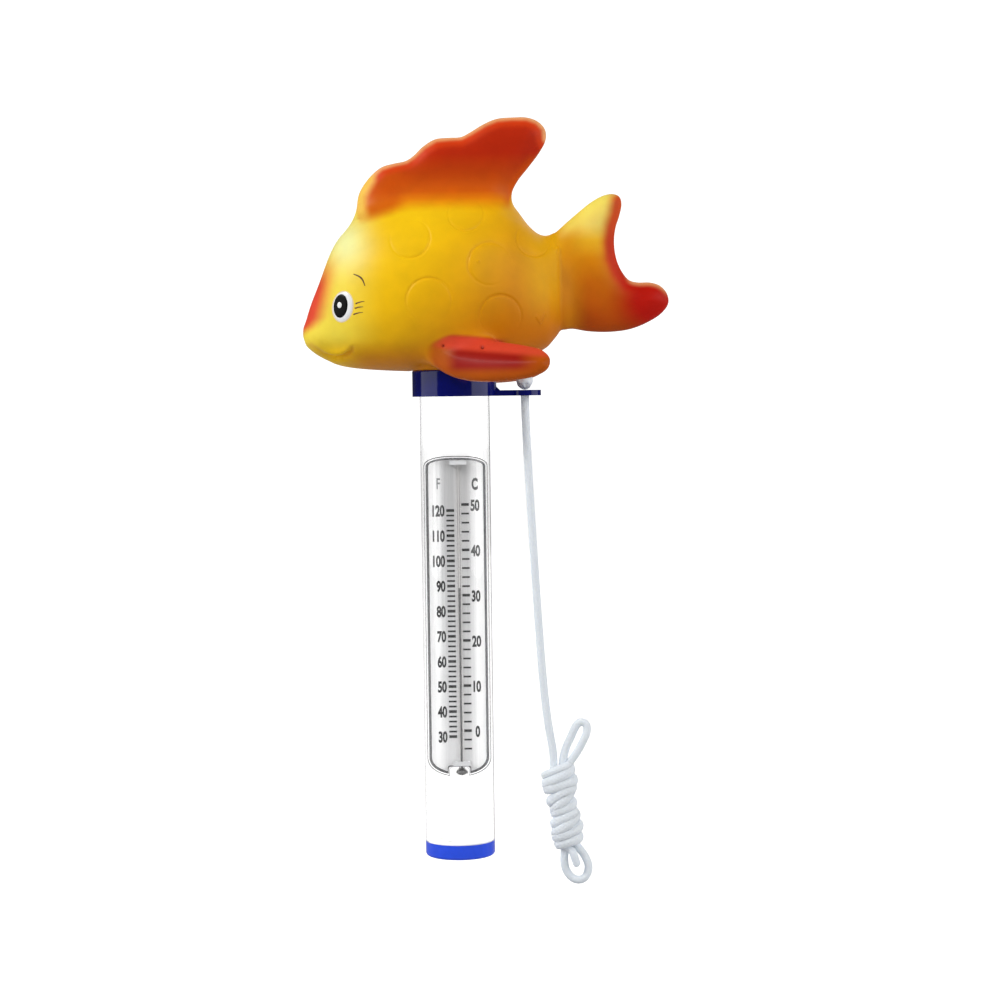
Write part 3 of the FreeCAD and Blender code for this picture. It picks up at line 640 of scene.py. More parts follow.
def onto_flank(field, across, up, side, reach=32.0):
    """Outermost skin point on one flank at each (x, z), and the outward direction there."""
    steps = np.arange(0, reach, 0.25)
    x = np.repeat(np.asarray(across, float)[:, None], len(steps), axis=1)
    z = np.repeat(np.asarray(up, float)[:, None], len(steps), axis=1)
    y = np.broadcast_to(steps * side, x.shape)
    value = field.read(field.values, np.stack([x, y, z], axis=-1).reshape(-1, 3)).reshape(x.shape)
    inside = value < 0
    last = len(steps) - 2 - np.argmax(inside[:, ::-1][:, 1:], axis=1)
    rows = np.arange(len(x))
    first, second = value[rows, last], value[rows, last + 1]
    share = np.where(inside.any(axis=1), first / np.where(first == second, 1, first - second), 0)
    points = np.stack([x[:, 0], side * (steps[last] + share * 0.25), z[:, 0]], axis=1)
    points = field.onto(points, steps=1)
    return points, field.normal(points)


def edit_mesh(mesh, change):
    """Apply a change to a mesh's bmesh, and turn its normals outwards."""
    grid = bmesh.new()
    grid.from_mesh(mesh)
    grid.verts.ensure_lookup_table()
    change(grid)
    bmesh.ops.recalc_face_normals(grid, faces=grid.faces)
    grid.to_mesh(mesh)
    grid.free()


def fill_ends(mesh, sides):
    """Close the open ends of a tube of so many sides."""
    edit_mesh(mesh, lambda grid: bmesh.ops.holes_fill(grid, edges=grid.edges, sides=sides))


def grid_mesh(name, rows, columns, points, closed=False):
    """Mesh of a grid of points, given row by row; closed joins each row's ends."""
    faces = []
    last = columns if closed else columns - 1
    for row in range(rows - 1):
        for column in range(last):
            following = (column + 1) % columns
            start, above = row * columns, (row + 1) * columns
            faces.append((start + column, start + following, above + following, above + column))
    mesh = bpy.data.meshes.new(name)
    mesh.from_pydata((np.asarray(points) * MM).tolist(), [], faces)
    mesh.validate()
    return mesh


def disc_decal(field, name, middle, half_sizes, tilt, side, lift, material, rings=9, around=72):
    """Domed oval patch on the flank, with its rim sunk just under the skin."""
    turn = np.linspace(0, 2 * math.pi, around, endpoint=False)
    lean = math.radians(tilt)
    across, up, height = [], [], []
    for share in np.linspace(0.02, 1, rings):
        flat_x, flat_z = half_sizes[0] * share * np.cos(turn), half_sizes[1] * share * np.sin(turn)
        across.append(middle[0] + flat_x * math.cos(lean) + flat_z * math.sin(lean))
        up.append(middle[1] - flat_x * math.sin(lean) + flat_z * math.cos(lean))
        edge = math.sqrt(max(0, 1 - share ** 6))
        height.append(np.full(around, lift * edge - 0.05 * (1 - edge)))
    points, normals = onto_flank(field, np.concatenate(across), np.concatenate(up), side)
    raised = points + normals * np.concatenate(height)[:, None]
    mesh = grid_mesh(name, rings, around, raised, closed=True)
    edit_mesh(mesh, lambda grid: grid.faces.new([grid.verts[k] for k in range(around)]))
    return new_object(name, mesh, material, THERMOMETER)


# Points of a painted stroke from one point of its route to the next
STROKE_POINTS = 12


def stroke_decal(field, name, route, widths, side, lift, material):
    """Thin raised brush stroke along a route on the flank."""
    route = np.array(route, float)
    knots = np.concatenate([[0], np.cumsum(np.hypot(*np.diff(route, axis=0).T))])
    at = np.linspace(0, knots[-1], STROKE_POINTS * (len(route) - 1) + 1)
    line = np.stack([natural_spline(knots, route[:, k])(at) for k in (0, 1)], axis=1)
    wide = np.interp(at, knots, widths)
    along = np.gradient(line, axis=0)
    along /= np.linalg.norm(along, axis=1, keepdims=True)
    normal = np.stack([-along[:, 1], along[:, 0]], axis=1)
    across, up, height = [], [], []
    for share in np.linspace(-1, 1, 7):
        across.append(line[:, 0] + normal[:, 0] * wide * share / 2)
        up.append(line[:, 1] + normal[:, 1] * wide * share / 2)
        height.append(np.full(len(at), lift * math.sqrt(1 - share ** 2) - 0.03))
    points, normals = onto_flank(field, np.concatenate(across), np.concatenate(up), side)
    raised = points + normals * np.concatenate(height)[:, None]
    mesh = grid_mesh(name, 7, len(at), raised)
    return new_object(name, mesh, material, THERMOMETER)


def paint_material(name, colour, roughness, specular=0.5):
    material, nodes, links, shader = new_material(name, Roughness=roughness, Specular_IOR_Level=specular)
    noise = add_bump(nodes, links, shader, scale=500.0, strength=0.12, detail=3.0, distance=0.00008)
    dark = tuple(channel * 0.86 for channel in rgb(*colour)[:3]) + (1.0,)
    links.new(add_mix(nodes, links, noise.outputs["Fac"], dark, rgb(*colour)), shader.inputs["Base Color"])
    return material


def make_face(field):
    """Eyes, lashes and eyebrows on both flanks."""
    white = paint_material("eye_white", (255, 255, 255), 0.22)
    cream = paint_material("eye_outline", (250, 226, 180), 0.35)
    black = paint_material("pupil_black", (2, 2, 4), 0.30, specular=0.15)
    brown = paint_material("lash_brown", (98, 48, 14), 0.45)
    for side, hand in ((-1, "left"), (1, "right")):
        pieces = [
            disc_decal(field, f"eye_outline_{hand}", (-34.24, 12.25), (3.72, 5.28), 9, side, 0.10, cream),
            disc_decal(field, f"eye_white_{hand}", (-34.20, 12.25), (3.34, 4.90), 9, side, 0.30, white),
            disc_decal(field, f"pupil_{hand}", (-34.72, 12.45), (2.56, 4.12), 7, side, 0.42, black),
            disc_decal(field, f"eye_glint_{hand}", (-35.00, 12.75), (0.86, 1.15), 0, side, 0.56,
                       white, 6, 40),
            stroke_decal(field, f"eyebrow_{hand}", [(-30.6, 22.3), (-28.2, 21.0), (-27.0, 18.5)],
                         [0.35, 0.62, 0.30], side, 0.10, brown),
        ]
        for number, (low, high) in enumerate((((-30.1, 13.0), (-27.2, 13.7)), ((-30.3, 11.6), (-27.6, 12.0)),
                                              ((-30.8, 9.7), (-27.7, 10.3))), start=1):
            middle = ((low[0] + high[0]) / 2, (low[1] + high[1]) / 2 + 0.15)
            lash = stroke_decal(field, f"lash_{hand}_{number}", [low, middle, high], [0.55, 0.42, 0.16],
                                side, 0.09, brown)
            pieces.append(lash)


# ---------------------------------------------------------------- cord

CORD_DIAMETER = 2.7
BRAID_STRANDS = 6
BRAID_PITCH = 6.0
BRAID_GROOVE = 0.24
HANK_TOP = np.array([31.4, 0.0, -135.0])
HANK_BOTTOM = np.array([35.4, 0.0, -162.6])
DROP_ROUTE = [
    (22.6, 0.0, -14.6),
    (22.6, 0.0, -18.75),
    (23.3, 0.2, -38.0),
    (25.1, 0.4, -72.0),
    (27.1, 0.2, -106.0),
    (28.8, 0.0, -122.5),
    (30.5, 0.0, -131.6),
]
LOWER_LOOP_ROUTE = [
    (34.0, 0.0, -161.8),
    (33.5, 0.3, -165.6),
    (33.8, 0.5, -170.0),
    (36.5, 0.6, -173.4),
    (40.2, 0.3, -173.2),
    (41.8, 0.1, -169.4),
    (40.4, 0.0, -165.4),
    (37.4, 0.0, -161.6),
]
UPPER_LOOP_ROUTE = [
    (32.4, 0.2, -135.4),
    (34.2, 0.5, -130.6),
    (36.4, 0.7, -126.4),
    (37.5, 0.6, -123.6),
    (39.0, 0.3, -121.7),
    (41.3, 0.0, -122.3),
    (41.5, -0.3, -124.8),
    (40.4, -0.5, -127.4),
    (38.4, -0.3, -131.2),
    (36.0, 0.0, -135.8),
]
FREE_END_ROUTE = [(36.2, -1.6, -163.2), (37.0, -1.7, -166.0), (37.9, -1.2, -168.8)]
WRAP_TURNS = 9.6
WRAP_POINTS = 14


def hank_point(share, sideways, forward):
    """Point in the hank: share of the way down, then millimetres to its right and towards the front."""
    along = (HANK_BOTTOM - HANK_TOP) / np.linalg.norm(HANK_BOTTOM - HANK_TOP)
    right = np.array([-along[2], 0, along[0]])
    return HANK_TOP + (HANK_BOTTOM - HANK_TOP) * share + right * sideways + np.array([0, -1, 0]) * forward


def cord_route():
    """Down from the eye and the hank, round the lower loop, up round the upper loop, and wrapped down."""
    half_width = natural_spline((0.0, 0.16, 0.5, 0.8, 1.0), (3.0, 4.7, 3.5, 4.3, 2.9))
    half_depth = natural_spline((0.0, 0.16, 0.5, 0.8, 1.0), (2.3, 3.0, 2.75, 3.0, 2.2))
    route = list(DROP_ROUTE)
    route += [hank_point(share, -1.35, 0.0) for share in (0.08, 0.35, 0.65, 0.92)]
    route += LOWER_LOOP_ROUTE
    route += [hank_point(share, 1.35, 0.0) for share in (0.92, 0.65, 0.35, 0.08)]
    route += UPPER_LOOP_ROUTE[1:-1]
    count = round(WRAP_TURNS * WRAP_POINTS)
    for k in range(count + 1):
        share = 0.045 + 0.90 * k / count
        turn = 2 * math.pi * k / WRAP_POINTS
        wide, deep = float(half_width(np.array(share))), float(half_depth(np.array(share)))
        share -= ((0.045 + 0.040 * math.sin(0.31 * turn)) * math.cos(turn)
                  * math.sin(math.pi * k / count) ** 0.5)
        uneven = 1 + 0.08 * math.sin(2.3 * turn) * math.sin(0.37 * turn + 0.8)
        route.append(hank_point(share, wide * uneven * math.cos(turn), deep * uneven * math.sin(turn)))
    route += FREE_END_ROUTE
    return [np.array(point) for point in route]


def spline_points(route):
    """Even points along the NURBS curve through the route's hull, and the curve's length in millimetres."""
    curve = bpy.data.curves.new("cord_line", "CURVE")
    curve.dimensions = "3D"
    curve.resolution_u = 12
    spline = curve.splines.new("NURBS")
    spline.points.add(len(route) - 1)
    for point, place in zip(spline.points, route):
        point.co = (*(place * MM), 1.0)
    spline.order_u = 3
    spline.use_endpoint_u = True
    holder = bpy.data.objects.new("cord_line", curve)
    line = bpy.data.meshes.new_from_object(holder)
    raw = mesh_points(line)
    bpy.data.objects.remove(holder)
    bpy.data.meshes.remove(line)
    steps = np.linalg.norm(np.diff(raw, axis=0), axis=1)
    raw = raw[np.concatenate([[True], steps > 1e-5])]
    passed = np.concatenate([[0], np.cumsum(np.linalg.norm(np.diff(raw, axis=0), axis=1))])
    even = np.linspace(0, passed[-1], round(passed[-1] / 0.30) + 1)
    return np.stack([np.interp(even, passed, raw[:, k]) for k in range(3)], axis=1), passed[-1]


def carried_frames(line):
    """Two directions across a line at each of its points, carried along it without twisting."""
    along = np.gradient(line, axis=0)
    along /= np.linalg.norm(along, axis=1, keepdims=True)
    first = np.cross(along[0], (0.3, 1.0, 0.1))
    first /= np.linalg.norm(first)
    carried = [first]
    for direction in along[1:]:
        first = first - direction * (first @ direction)
        first /= np.linalg.norm(first)
        carried.append(first)
    carried = np.array(carried)
    return carried, np.cross(along, carried)


def hank_spread(line):
    """How much flatter the cord lies in the wraps, at each point of its line."""
    along = (HANK_BOTTOM - HANK_TOP) / np.linalg.norm(HANK_BOTTOM - HANK_TOP)
    height = (line - HANK_TOP) @ along
    passed = np.concatenate([[0], np.cumsum(np.linalg.norm(np.diff(line, axis=0), axis=1))])
    in_wraps = smoothstep(passed[-1] * 0.53, passed[-1] * 0.56, passed)
    return 1 + 0.38 * in_wraps * smoothstep(-1, 3, height) * smoothstep(29, 25, height), along


def rope_mesh(name, line, diameter):
    """Braided cord along a line, with rounded ends."""
    around = 48
    spread, squeeze = hank_spread(line)
    first, second = carried_frames(line)
    passed = np.concatenate([[0], np.cumsum(np.linalg.norm(np.diff(line, axis=0), axis=1))])
    turn = np.linspace(0, 2 * math.pi, around, endpoint=False)
    rows = []
    total = passed[-1]
    for place, across, up, along, wider in zip(line, first, second, passed, spread):
        twist = 2 * math.pi * along / BRAID_PITCH
        one_way = np.abs(np.cos((turn - twist) * BRAID_STRANDS / 2)) ** 0.8
        other_way = np.abs(np.cos((turn + twist) * BRAID_STRANDS / 2)) ** 0.8
        lobes = np.maximum(one_way, other_way * 0.94)
        fibre = 0.012 * np.sin(9 * turn + 5.5 * along)
        end = min(along, total - along) / (0.5 * diameter)
        cap = math.sqrt(1 - (1 - min(end, 1)) ** 2) if end < 1 else 1.0
        reach = diameter / 2 * (1 + BRAID_GROOVE * (lobes - 1) + fibre) * max(cap, 0.05)
        offset = np.outer(reach * np.cos(turn), across) + np.outer(reach * np.sin(turn), up)
        rows.append(place + offset + np.outer(offset @ squeeze * (wider - 1), squeeze))
    mesh = grid_mesh(name, len(line), around, np.concatenate(rows), closed=True)
    fill_ends(mesh, around)
    return mesh


def cord_material():
    material, nodes, links, shader = new_material("white_cord", Roughness=0.72)
    shader.inputs["Subsurface Weight"].default_value = 0.35
    shader.inputs["Subsurface Radius"].default_value = (1.0, 1.0, 1.1)
    shader.inputs["Subsurface Scale"].default_value = 0.0012
    noise = add_bump(nodes, links, shader, scale=2600.0, strength=0.45, detail=5.0, distance=0.00018)
    pale, cool = rgb(250, 253, 255), rgb(224, 235, 250)
    links.new(add_mix(nodes, links, noise.outputs["Fac"], cool, pale), shader.inputs["Base Color"])
    return material


def make_cord(material):
    line, length = spline_points(cord_route())
    mesh = rope_mesh("tether_cord", line, CORD_DIAMETER)
    piece = new_object("tether_cord", mesh, material, None)
    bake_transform(piece)
    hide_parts("cord_drop", "hank_body", "hank_loop_upper", "hank_loop_lower")
    return piece


def make_knot(material):
    """Stopper knot over the eye: a ball of crossing strands."""
    turn = np.linspace(0, 2 * math.pi, 72, endpoint=False)
    rows = []
    count = 44
    for k in range(count):
        polar = math.pi * (0.02 + 0.96 * k / (count - 1))
        sweep = turn + 1.1 * math.cos(polar)
        lobes = 0.5 + 0.5 * np.cos(5 * sweep)
        cross = 0.5 + 0.5 * np.cos(4 * (turn - 1.3 * math.cos(polar)))
        reach = 1 - 0.17 * (1 - np.sqrt(np.maximum(lobes, cross)))
        level = -11.35 + 2.95 * math.cos(polar) * reach
        wide = 2.7 * math.sin(polar) * reach
        rows.append(np.stack([22.6 + wide * np.cos(turn), wide * np.sin(turn), level], axis=1))
    mesh = grid_mesh("tether_stopper_knot", count, len(turn), np.concatenate(rows), closed=True)
    fill_ends(mesh, len(turn))
    piece = new_object("tether_stopper_knot", mesh, material, THERMOMETER)
    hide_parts("tether_knot")


# ---------------------------------------------------------------- plastics, scale and liquid

CARD_FRONT = 0.1
CARD_LIFT = 0.03
BAR_DEPTH = 0.02
ZERO_LEVEL = -124.2
DEGREE = 1.4640
STEM_ACROSS = 0.8
STEM_FORWARD = -0.9
THREAD_RADIUS = 0.3
THREAD_LEVELS = (-131.5, -78.7)


def level_of(celsius):
    return ZERO_LEVEL + DEGREE * celsius


def dress(node, material, bevel=0.0):
    """Give a CAD node its material, and rounded edges if wanted."""
    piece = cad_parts[node]
    piece.data.materials.clear()
    piece.data.materials.append(material)
    if bevel:
        rounding = piece.modifiers.new("edges", "BEVEL")
        rounding.width = bevel * MM
        rounding.segments = 3
        rounding.limit_method = "ANGLE"
        rounding.angle_limit = math.radians(35)
        rounding.harden_normals = True
    return piece


def clear_material(name, tint, roughness, ior, shade=None):
    """Clear plastic, faintly uneven; the lamps' light that passes it takes the shade's colour."""
    material, nodes, links, shader = new_material(name, Roughness=roughness, IOR=ior)
    shader.inputs["Base Color"].default_value = rgb(*tint)
    shader.inputs["Transmission Weight"].default_value = 1.0
    add_bump(nodes, links, shader, scale=300.0, strength=0.02)
    path = nodes.new("ShaderNodeLightPath")
    through = nodes.new("ShaderNodeBsdfTransparent")
    through.inputs["Color"].default_value = rgb(*(shade or tint))
    seen = mix_shaders(nodes, links, path.outputs["Is Shadow Ray"],
                       shader.outputs["BSDF"], through.outputs["BSDF"])
    links.new(seen, nodes["Material Output"].inputs["Surface"])
    return material


TRAY_HALF_WIDTH = 10.4
TRAY_TOP = -35.2
TRAY_BOTTOM = -139.0
TRAY_SHOULDER = -38.9
TRAY_FOOT = -132.6
BEAD_WIDTH = 1.6
NOTCH_HALF_WIDTH = 3.1
NOTCH_DRAW = 0.45
NOTCH_HEIGHT = 2.9
NOTCH_ROUND = 0.8
FOOT_POWER = 0.94
SHOULDER_POWER = 0.80
# Rows of the tray's faces, counted from its outer side, that are the two rounded edges of its bead, coloured
# near black as painted shade
EDGE_SHADE_ROWS = (1, 2, 3, 5, 6, 7)


def tray_outline(inset, per_corner=22):
    """Tray outline drawn in by an inset: straight sides, tight shoulders, rounded foot, bulb's notch."""
    side = TRAY_HALF_WIDTH - inset
    rise, drop = TRAY_TOP - TRAY_SHOULDER - inset * 0.85, TRAY_FOOT - TRAY_BOTTOM - inset * 0.90
    half, top = NOTCH_HALF_WIDTH + inset * NOTCH_DRAW, TRAY_BOTTOM + NOTCH_HEIGHT + inset * NOTCH_DRAW
    start = math.asin((half / side) ** (1 / FOOT_POWER))
    foot = [(side * math.sin(t) ** FOOT_POWER, TRAY_FOOT - drop * max(math.cos(t), 0) ** FOOT_POWER)
            for t in np.linspace(start, math.pi / 2, per_corner)]
    shoulder = [(side * max(math.cos(t), 0) ** SHOULDER_POWER,
                 TRAY_SHOULDER + rise * math.sin(t) ** SHOULDER_POWER)
                for t in np.linspace(0, math.pi / 2, per_corner)]
    bend = [(half - NOTCH_ROUND * (1 - math.cos(t)), top - NOTCH_ROUND * (1 - math.sin(t)))
            for t in np.linspace(math.pi / 2, 0, 7)]
    right = bend + foot + shoulder
    left = [(-x, z) for x, z in reversed(right[:-1])]
    return np.array(right + left)


def make_tray(clear, edge_shade, printed_face):
    """Clear tray with a round bead all round, and the card that lies in it, notched for the bulb."""
    profile = [(0.0, 1.15), (0.0, -0.35), (0.05, -0.80), (0.20, -1.06), (0.42, -1.15),
               (BEAD_WIDTH - 0.80, -1.15), (BEAD_WIDTH - 0.42, -1.02), (BEAD_WIDTH - 0.12, -0.70),
               (BEAD_WIDTH, -0.30), (BEAD_WIDTH, 0.42)]
    loops = []
    for inset, forward in profile:
        outline = tray_outline(inset)
        loops.append(np.stack([outline[:, 0], np.full(len(outline), forward), outline[:, 1]], axis=1))
    around = len(loops[0])
    mesh = grid_mesh("scale_tray", len(loops), around, np.concatenate(loops), closed=True)

    def colour_and_close(grid):
        for face in grid.faces:
            face.material_index = int(face.index // around in EDGE_SHADE_ROWS)
        for first in (0, (len(loops) - 1) * around):
            grid.faces.new([grid.verts[first + k] for k in range(around)])

    edit_mesh(mesh, colour_and_close)
    tray = new_object("scale_tray", mesh, clear, THERMOMETER, smooth=False)
    mesh.materials.append(edge_shade)
    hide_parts("scale_frame")

    corners = tray_outline(BEAD_WIDTH + 0.04)
    grid = bmesh.new()
    rings = []
    for forward in (CARD_FRONT, CARD_FRONT + 0.28):
        rings.append([grid.verts.new((x * MM, forward * MM, z * MM)) for x, z in corners])
        grid.faces.new(rings[-1])
    for k in range(len(corners)):
        after = (k + 1) % len(corners)
        grid.faces.new((rings[0][k], rings[0][after], rings[1][after], rings[1][k]))
    bmesh.ops.recalc_face_normals(grid, faces=grid.faces)
    mesh = bpy.data.meshes.new("scale_card_face")
    grid.to_mesh(mesh)
    grid.free()
    card = new_object("scale_card_face", mesh, printed_face, THERMOMETER, smooth=False)
    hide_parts("scale_card")


def plastic_material(name, colour, roughness, scale=700.0):
    """Moulded plastic with a faint orange-peel surface and slightly uneven gloss."""
    material, nodes, links, shader = new_material(name, Specular_IOR_Level=0.5)
    noise = add_bump(nodes, links, shader, scale=scale, strength=0.06, detail=3.0, distance=0.0001)
    deep = tuple(channel * 0.82 for channel in rgb(*colour)[:3]) + (1.0,)
    links.new(add_mix(nodes, links, noise.outputs["Fac"], deep, rgb(*colour)), shader.inputs["Base Color"])
    gloss = map_range(nodes, links, noise.outputs["Fac"], (0, 1), (roughness * 0.8, roughness * 1.25))
    links.new(gloss.outputs["Result"], shader.inputs["Roughness"])
    return material


# The card's painted reflection, a grey band, gives way to its pale sides between these distances from its
# middle line, in metres
CARD_REFLECTION_FADE = (0.0030, 0.0075)
# Noise scales across, into and up the card, which make upright streaks in the painted reflection
CARD_REFLECTION_STREAKS = (1400, 1, 16)
CARD_UNEVENNESS = 0.9


def card_material():
    """Card: a grey band down its middle, a painted reflection, fades to pale sides, and painted shade
    darkens it towards the top; faintly streaked.
    """
    material, nodes, links, shader = new_material("scale_card", Roughness=0.5)
    place = nodes.new("ShaderNodeTexCoord")
    split = nodes.new("ShaderNodeSeparateXYZ")
    links.new(place.outputs["Object"], split.inputs["Vector"])
    away = math_node(nodes, links, "ABSOLUTE", split.outputs["X"], 0.0)
    # Painted reflection: grey band down the card's middle
    painted_light_band = map_range(nodes, links, away, CARD_REFLECTION_FADE)
    painted_light_band.interpolation_type = "SMOOTHSTEP"
    stretch = nodes.new("ShaderNodeMapping")
    stretch.inputs["Scale"].default_value = CARD_REFLECTION_STREAKS
    links.new(place.outputs["Object"], stretch.inputs["Vector"])
    streak = noise_on(nodes, links, stretch.outputs["Vector"], 1.0, 3.0)
    centred = math_node(nodes, links, "SUBTRACT", streak.outputs["Fac"], 0.5)
    uneven = math_node(nodes, links, "MULTIPLY", centred, CARD_UNEVENNESS)
    total = math_node(nodes, links, "ADD", painted_light_band.outputs["Result"], uneven)
    total.node.use_clamp = True
    # Painted shade: the card darker towards the top
    top_shade = map_range(nodes, links, split.outputs["Z"], (TRAY_BOTTOM * MM, TRAY_TOP * MM))
    middle = add_mix(nodes, links, top_shade.outputs["Result"], rgb(208, 208, 209), rgb(160, 160, 161))
    sides = add_mix(nodes, links, top_shade.outputs["Result"], rgb(250, 250, 250), rgb(238, 238, 238))
    links.new(add_mix(nodes, links, total, middle, sides), shader.inputs["Base Color"])
    return material


def thin_bars(name, bars, material):
    """One mesh of thin raised bars on the card, each (left, right, level, height)."""
    points, faces = [], []
    front = CARD_FRONT - CARD_LIFT
    for left, right, level, height in bars:
        start = len(points)
        low, high = level - height / 2, level + height / 2
        for y in (front, front + BAR_DEPTH):
            points += [(left, y, low), (right, y, low), (right, y, high), (left, y, high)]
        faces += [tuple(start + k for k in face) for face in
                  ((0, 1, 2, 3), (7, 6, 5, 4), (0, 4, 5, 1), (1, 5, 6, 2), (2, 6, 7, 3), (3, 7, 4, 0))]
    mesh = bpy.data.meshes.new(name)
    mesh.from_pydata((np.array(points) * MM).tolist(), [], faces)
    piece = new_object(name, mesh, material, THERMOMETER, smooth=False)
    return piece


def printed(name, words, material, height, width_share, align, weight=0.040):
    """One mesh of printed figures on the card; words are (text, across, level)."""
    grid = bmesh.new()
    front = CARD_FRONT - CARD_LIFT
    for text, across, level in words:
        curve = bpy.data.curves.new(name, "FONT")
        curve.body = text
        curve.align_x = align
        curve.align_y = "CENTER"
        curve.bevel_depth = weight
        curve.bevel_resolution = 0
        curve.extrude = 0.01
        holder = bpy.data.objects.new(name, curve)
        bpy.context.scene.collection.objects.link(holder)
        bpy.context.view_layer.update()
        flat = bpy.data.meshes.new_from_object(holder)
        bpy.data.objects.remove(holder)
        places = mesh_points(flat) * MM
        scale = height / (places[:, 1].max() - places[:, 1].min())
        middle = (places[:, 1].max() + places[:, 1].min()) / 2
        edge = {"LEFT": places[:, 0].min(), "RIGHT": places[:, 0].max()}.get(
            align, (places[:, 0].min() + places[:, 0].max()) / 2)
        moved = np.stack([
            across + (places[:, 0] - edge) * scale * width_share,
            front + 0.01 - places[:, 2],
            level + (places[:, 1] - middle) * scale,
        ], axis=1)
        flat.vertices.foreach_set("co", (moved * MM).astype(np.float32).ravel())
        grid.from_mesh(flat)
        bpy.data.meshes.remove(flat)
    mesh = bpy.data.meshes.new(name)
    grid.to_mesh(mesh)
    grid.free()
    piece = new_object(name, mesh, material, THERMOMETER, smooth=False)
    return piece


def make_scale():
    """Ticks, figures and the two unit letters."""
    ink = paint_material("scale_ink", (0, 0, 2), 0.55, specular=0.2)
    faint = paint_material("unit_ink", (84, 85, 88), 0.55)
    celsius_bars, fahrenheit_bars = [], []
    for degrees in range(-4, 51, 2):
        height = 0.86 if degrees % 10 == 0 else 0.58
        celsius_bars.append((1.72, 4.15, level_of(degrees), height))
    for degrees in range(30, 121, 2):
        height = 0.90 if degrees % 10 == 0 else 0.60
        fahrenheit_bars.append((-3.15, -0.62, level_of((degrees - 32) / 1.8) - 0.25, height))
    thin_bars("ticks_celsius", celsius_bars, ink)
    thin_bars("ticks_fahrenheit", fahrenheit_bars, ink)
    celsius = [(str(degrees), 6.10, level_of(degrees) - 0.30) for degrees in range(0, 51, 10)]
    fahrenheit = [(str(degrees), -3.75, level_of((degrees - 32) / 1.8) - 0.35)
                  for degrees in range(30, 121, 10)]
    printed("figures_celsius", celsius, ink, 3.75, 0.60, "CENTER")
    printed("figures_fahrenheit", fahrenheit, ink, 3.75, 0.60, "RIGHT")
    printed("unit_letter_f", [("F", -5.6, -44.2)], faint, 3.5, 0.60, "CENTER", weight=0.012)
    printed("unit_letter_c", [("C", 6.1, -44.4)], ink, 3.9, 0.58, "CENTER", weight=0.05)


def make_liquid_thread(material):
    """The thread between the bulb and the meniscus, at one fixed length."""
    around, rows = 20, 60
    turn = np.linspace(0, 2 * math.pi, around, endpoint=False)
    ring = [(STEM_ACROSS + THREAD_RADIUS * math.cos(a), STEM_FORWARD + THREAD_RADIUS * math.sin(a))
            for a in turn]
    points = [(x, y, level) for level in np.linspace(*THREAD_LEVELS, rows) for x, y in ring]
    mesh = grid_mesh("liquid_thread", rows, around, np.array(points), closed=True)
    piece = new_object("liquid_thread", mesh, material, None)
    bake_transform(piece)
    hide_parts("liquid_column")


def make_plastics():
    """Materials of the parts whose CAD shape is kept, and the printed scale."""
    dress("top_cap", plastic_material("navy_plastic", (6, 14, 108), 0.10), bevel=0.18)
    dress("neck_seal", plastic_material("black_rubber", (22, 22, 24), 0.6, 1200.0))
    dress("clear_tube", clear_material("clear_tube_plastic", (254, 254, 254), 0.01, 1.42))
    dress("bottom_cap", plastic_material("royal_blue_plastic", (32, 84, 252), 0.22), bevel=0.06)
    dress("inlet_screen", plastic_material("pale_screen", (255, 255, 252), 0.6, 1500.0))
    clear = clear_material("tray_plastic", (252, 252, 252), 0.03, 1.30)
    # Painted shade: near-black clear plastic on the bead's edges, for the dark lines that clear edges show
    edge_shade = clear_material("tray_edge_shade", (10, 10, 12), 0.10, 1.45, shade=(240, 240, 241))
    make_tray(clear, edge_shade, card_material())
    dress("glass_capillary", clear_material("stem_glass", (252, 251, 250), 0.01, 1.30))
    liquid = plastic_material("thread_liquid", (52, 53, 56), 0.25, 2500.0)
    dress("bulb_liquid", liquid)
    dress("liquid_meniscus", liquid)
    pale = plastic_material("clip_plastic", (205, 206, 208), 0.30)
    dress("clip_upper", pale, bevel=0.2)
    dress("clip_lower", pale, bevel=0.2)
    make_liquid_thread(liquid)
    make_scale()


# ---------------------------------------------------------------- camera, stage and light

CAMERA_TARGET = Vector((0.0142, 0.0, -0.0497))
CAMERA_DISTANCE = 0.735
CAMERA_DROP = math.radians(2.6)
CAMERA_ROLL = math.radians(0.72)
FLOOR_LEVEL = -0.1750
FLOOR_REACH = 6.0
FLOOR_GLOW = 0.86
FLOOR_GREY = (0.55, 0.55, 0.55, 1)
AMBIENT = 0.34
MIRRORED = 0.05
SEEN_WHITE = 1.2
LIT_THROUGH_PLASTIC = 0.6


def make_camera():
    data = bpy.data.cameras.new("camera")
    data.lens = 82.2
    data.clip_start = 0.01
    camera = bpy.data.objects.new("camera", data)
    away = Vector((0, -math.cos(CAMERA_DROP), math.sin(CAMERA_DROP)))
    camera.location = CAMERA_TARGET + away * CAMERA_DISTANCE
    facing = (-away).to_track_quat("-Z", "Y")
    camera.rotation_mode = "QUATERNION"
    camera.rotation_quaternion = facing @ Matrix.Rotation(-CAMERA_ROLL, 3, "Z").to_quaternion()
    bpy.context.scene.collection.objects.link(camera)
    bpy.context.scene.camera = camera


def add_light(name, place, aim, size, power):
    data = bpy.data.lights.new(name, "AREA")
    data.shape = "RECTANGLE"
    data.size, data.size_y = size
    data.energy = power
    lamp = bpy.data.objects.new(name, data)
    lamp.location = place
    lamp.rotation_euler = (Vector(aim) - Vector(place)).to_track_quat("-Z", "Y").to_euler()
    bpy.context.scene.collection.objects.link(lamp)


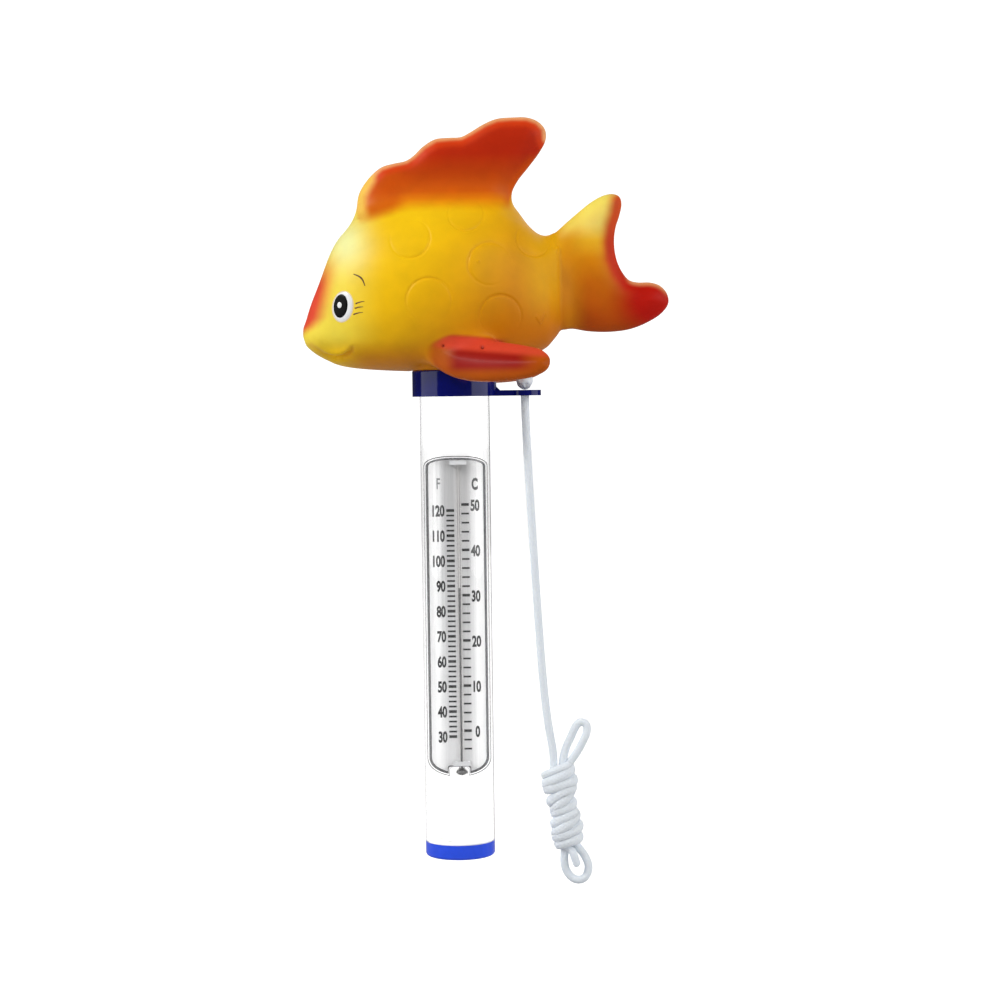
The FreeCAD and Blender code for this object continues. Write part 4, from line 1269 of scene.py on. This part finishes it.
def seen_white(nodes, links, first, second):
    """Mix of two shaders: the second one for rays from the camera, straight or through the clear plastic."""
    path = nodes.new("ShaderNodeLightPath")
    deep = math_node(nodes, links, "MINIMUM", path.outputs["Diffuse Depth"], LIT_THROUGH_PLASTIC)
    kept = math_node(nodes, links, "SUBTRACT", 1.0, deep)
    through = math_node(nodes, links, "MULTIPLY", path.outputs["Is Transmission Ray"], kept)
    either = math_node(nodes, links, "MAXIMUM", path.outputs["Is Camera Ray"], through)
    return mix_shaders(nodes, links, either, first, second)


def make_stage():
    """White floor and surroundings that stay white, and studio lamps."""
    material, nodes, links, shader = new_material("paper_white", Roughness=0.9, Base_Color=FLOOR_GREY)
    glow = nodes.new("ShaderNodeEmission")
    glow.inputs["Strength"].default_value = FLOOR_GLOW
    both = nodes.new("ShaderNodeAddShader")
    links.new(shader.outputs["BSDF"], both.inputs[0])
    links.new(glow.outputs["Emission"], both.inputs[1])
    surface = seen_white(nodes, links, shader.outputs["BSDF"], both.outputs["Shader"])
    links.new(surface, nodes["Material Output"].inputs["Surface"])
    mesh = bpy.data.meshes.new("floor")
    corners = [(x * FLOOR_REACH, y * FLOOR_REACH, FLOOR_LEVEL)
               for x, y in ((-1, -1), (1, -1), (1, 1), (-1, 1))]
    mesh.from_pydata(corners, [], [(0, 1, 2, 3)])
    floor = new_object("floor", mesh, material, None, smooth=False)

    world = bpy.data.worlds.new("studio")
    world.use_nodes = True
    nodes, links = world.node_tree.nodes, world.node_tree.links
    soft = nodes["Background"]
    seen, mirrored = nodes.new("ShaderNodeBackground"), nodes.new("ShaderNodeBackground")
    for shade, strength in ((soft, AMBIENT), (seen, SEEN_WHITE), (mirrored, MIRRORED)):
        shade.inputs["Color"].default_value = (1, 1, 1, 1)
        shade.inputs["Strength"].default_value = strength
    joined = seen_white(nodes, links, soft.outputs["Background"], seen.outputs["Background"])
    path = nodes.new("ShaderNodeLightPath")
    opaque = math_node(nodes, links, "SUBTRACT", 1.0, path.outputs["Is Transmission Ray"])
    reflected = math_node(nodes, links, "MULTIPLY", path.outputs["Is Glossy Ray"], opaque)
    whole = mix_shaders(nodes, links, reflected, joined, mirrored.outputs["Background"])
    links.new(whole, nodes["World Output"].inputs["Surface"])
    bpy.context.scene.world = world
    bpy.context.scene.view_settings.view_transform = "Standard"
    add_light("key", (-0.95, -0.55, 0.85), (0, 0, 0), (0.2, 0.2), 7.0)
    add_light("front_fill", (0.75, -0.95, 0.50), (0, 0, 0), (0.9, 0.9), 3.8)
    add_light("back_fill", (0.35, 1.30, 0.55), (0, 0, -0.03), (1.2, 1.2), 4.0)
    add_light("left_panel", (-1.01, -0.29, 0.25), (0, 0, 0.02), (1.15, 0.85), 3.4)
    add_light("right_panel", (1.01, -0.24, 0.25), (0, 0, 0.02), (1.15, 0.85), 3.8)


make_camera()
white_cord = cord_material()
make_cord(white_cord)
make_knot(white_cord)
fish_field_grid = make_fish()
make_face(fish_field_grid)
make_plastics()
make_stage()
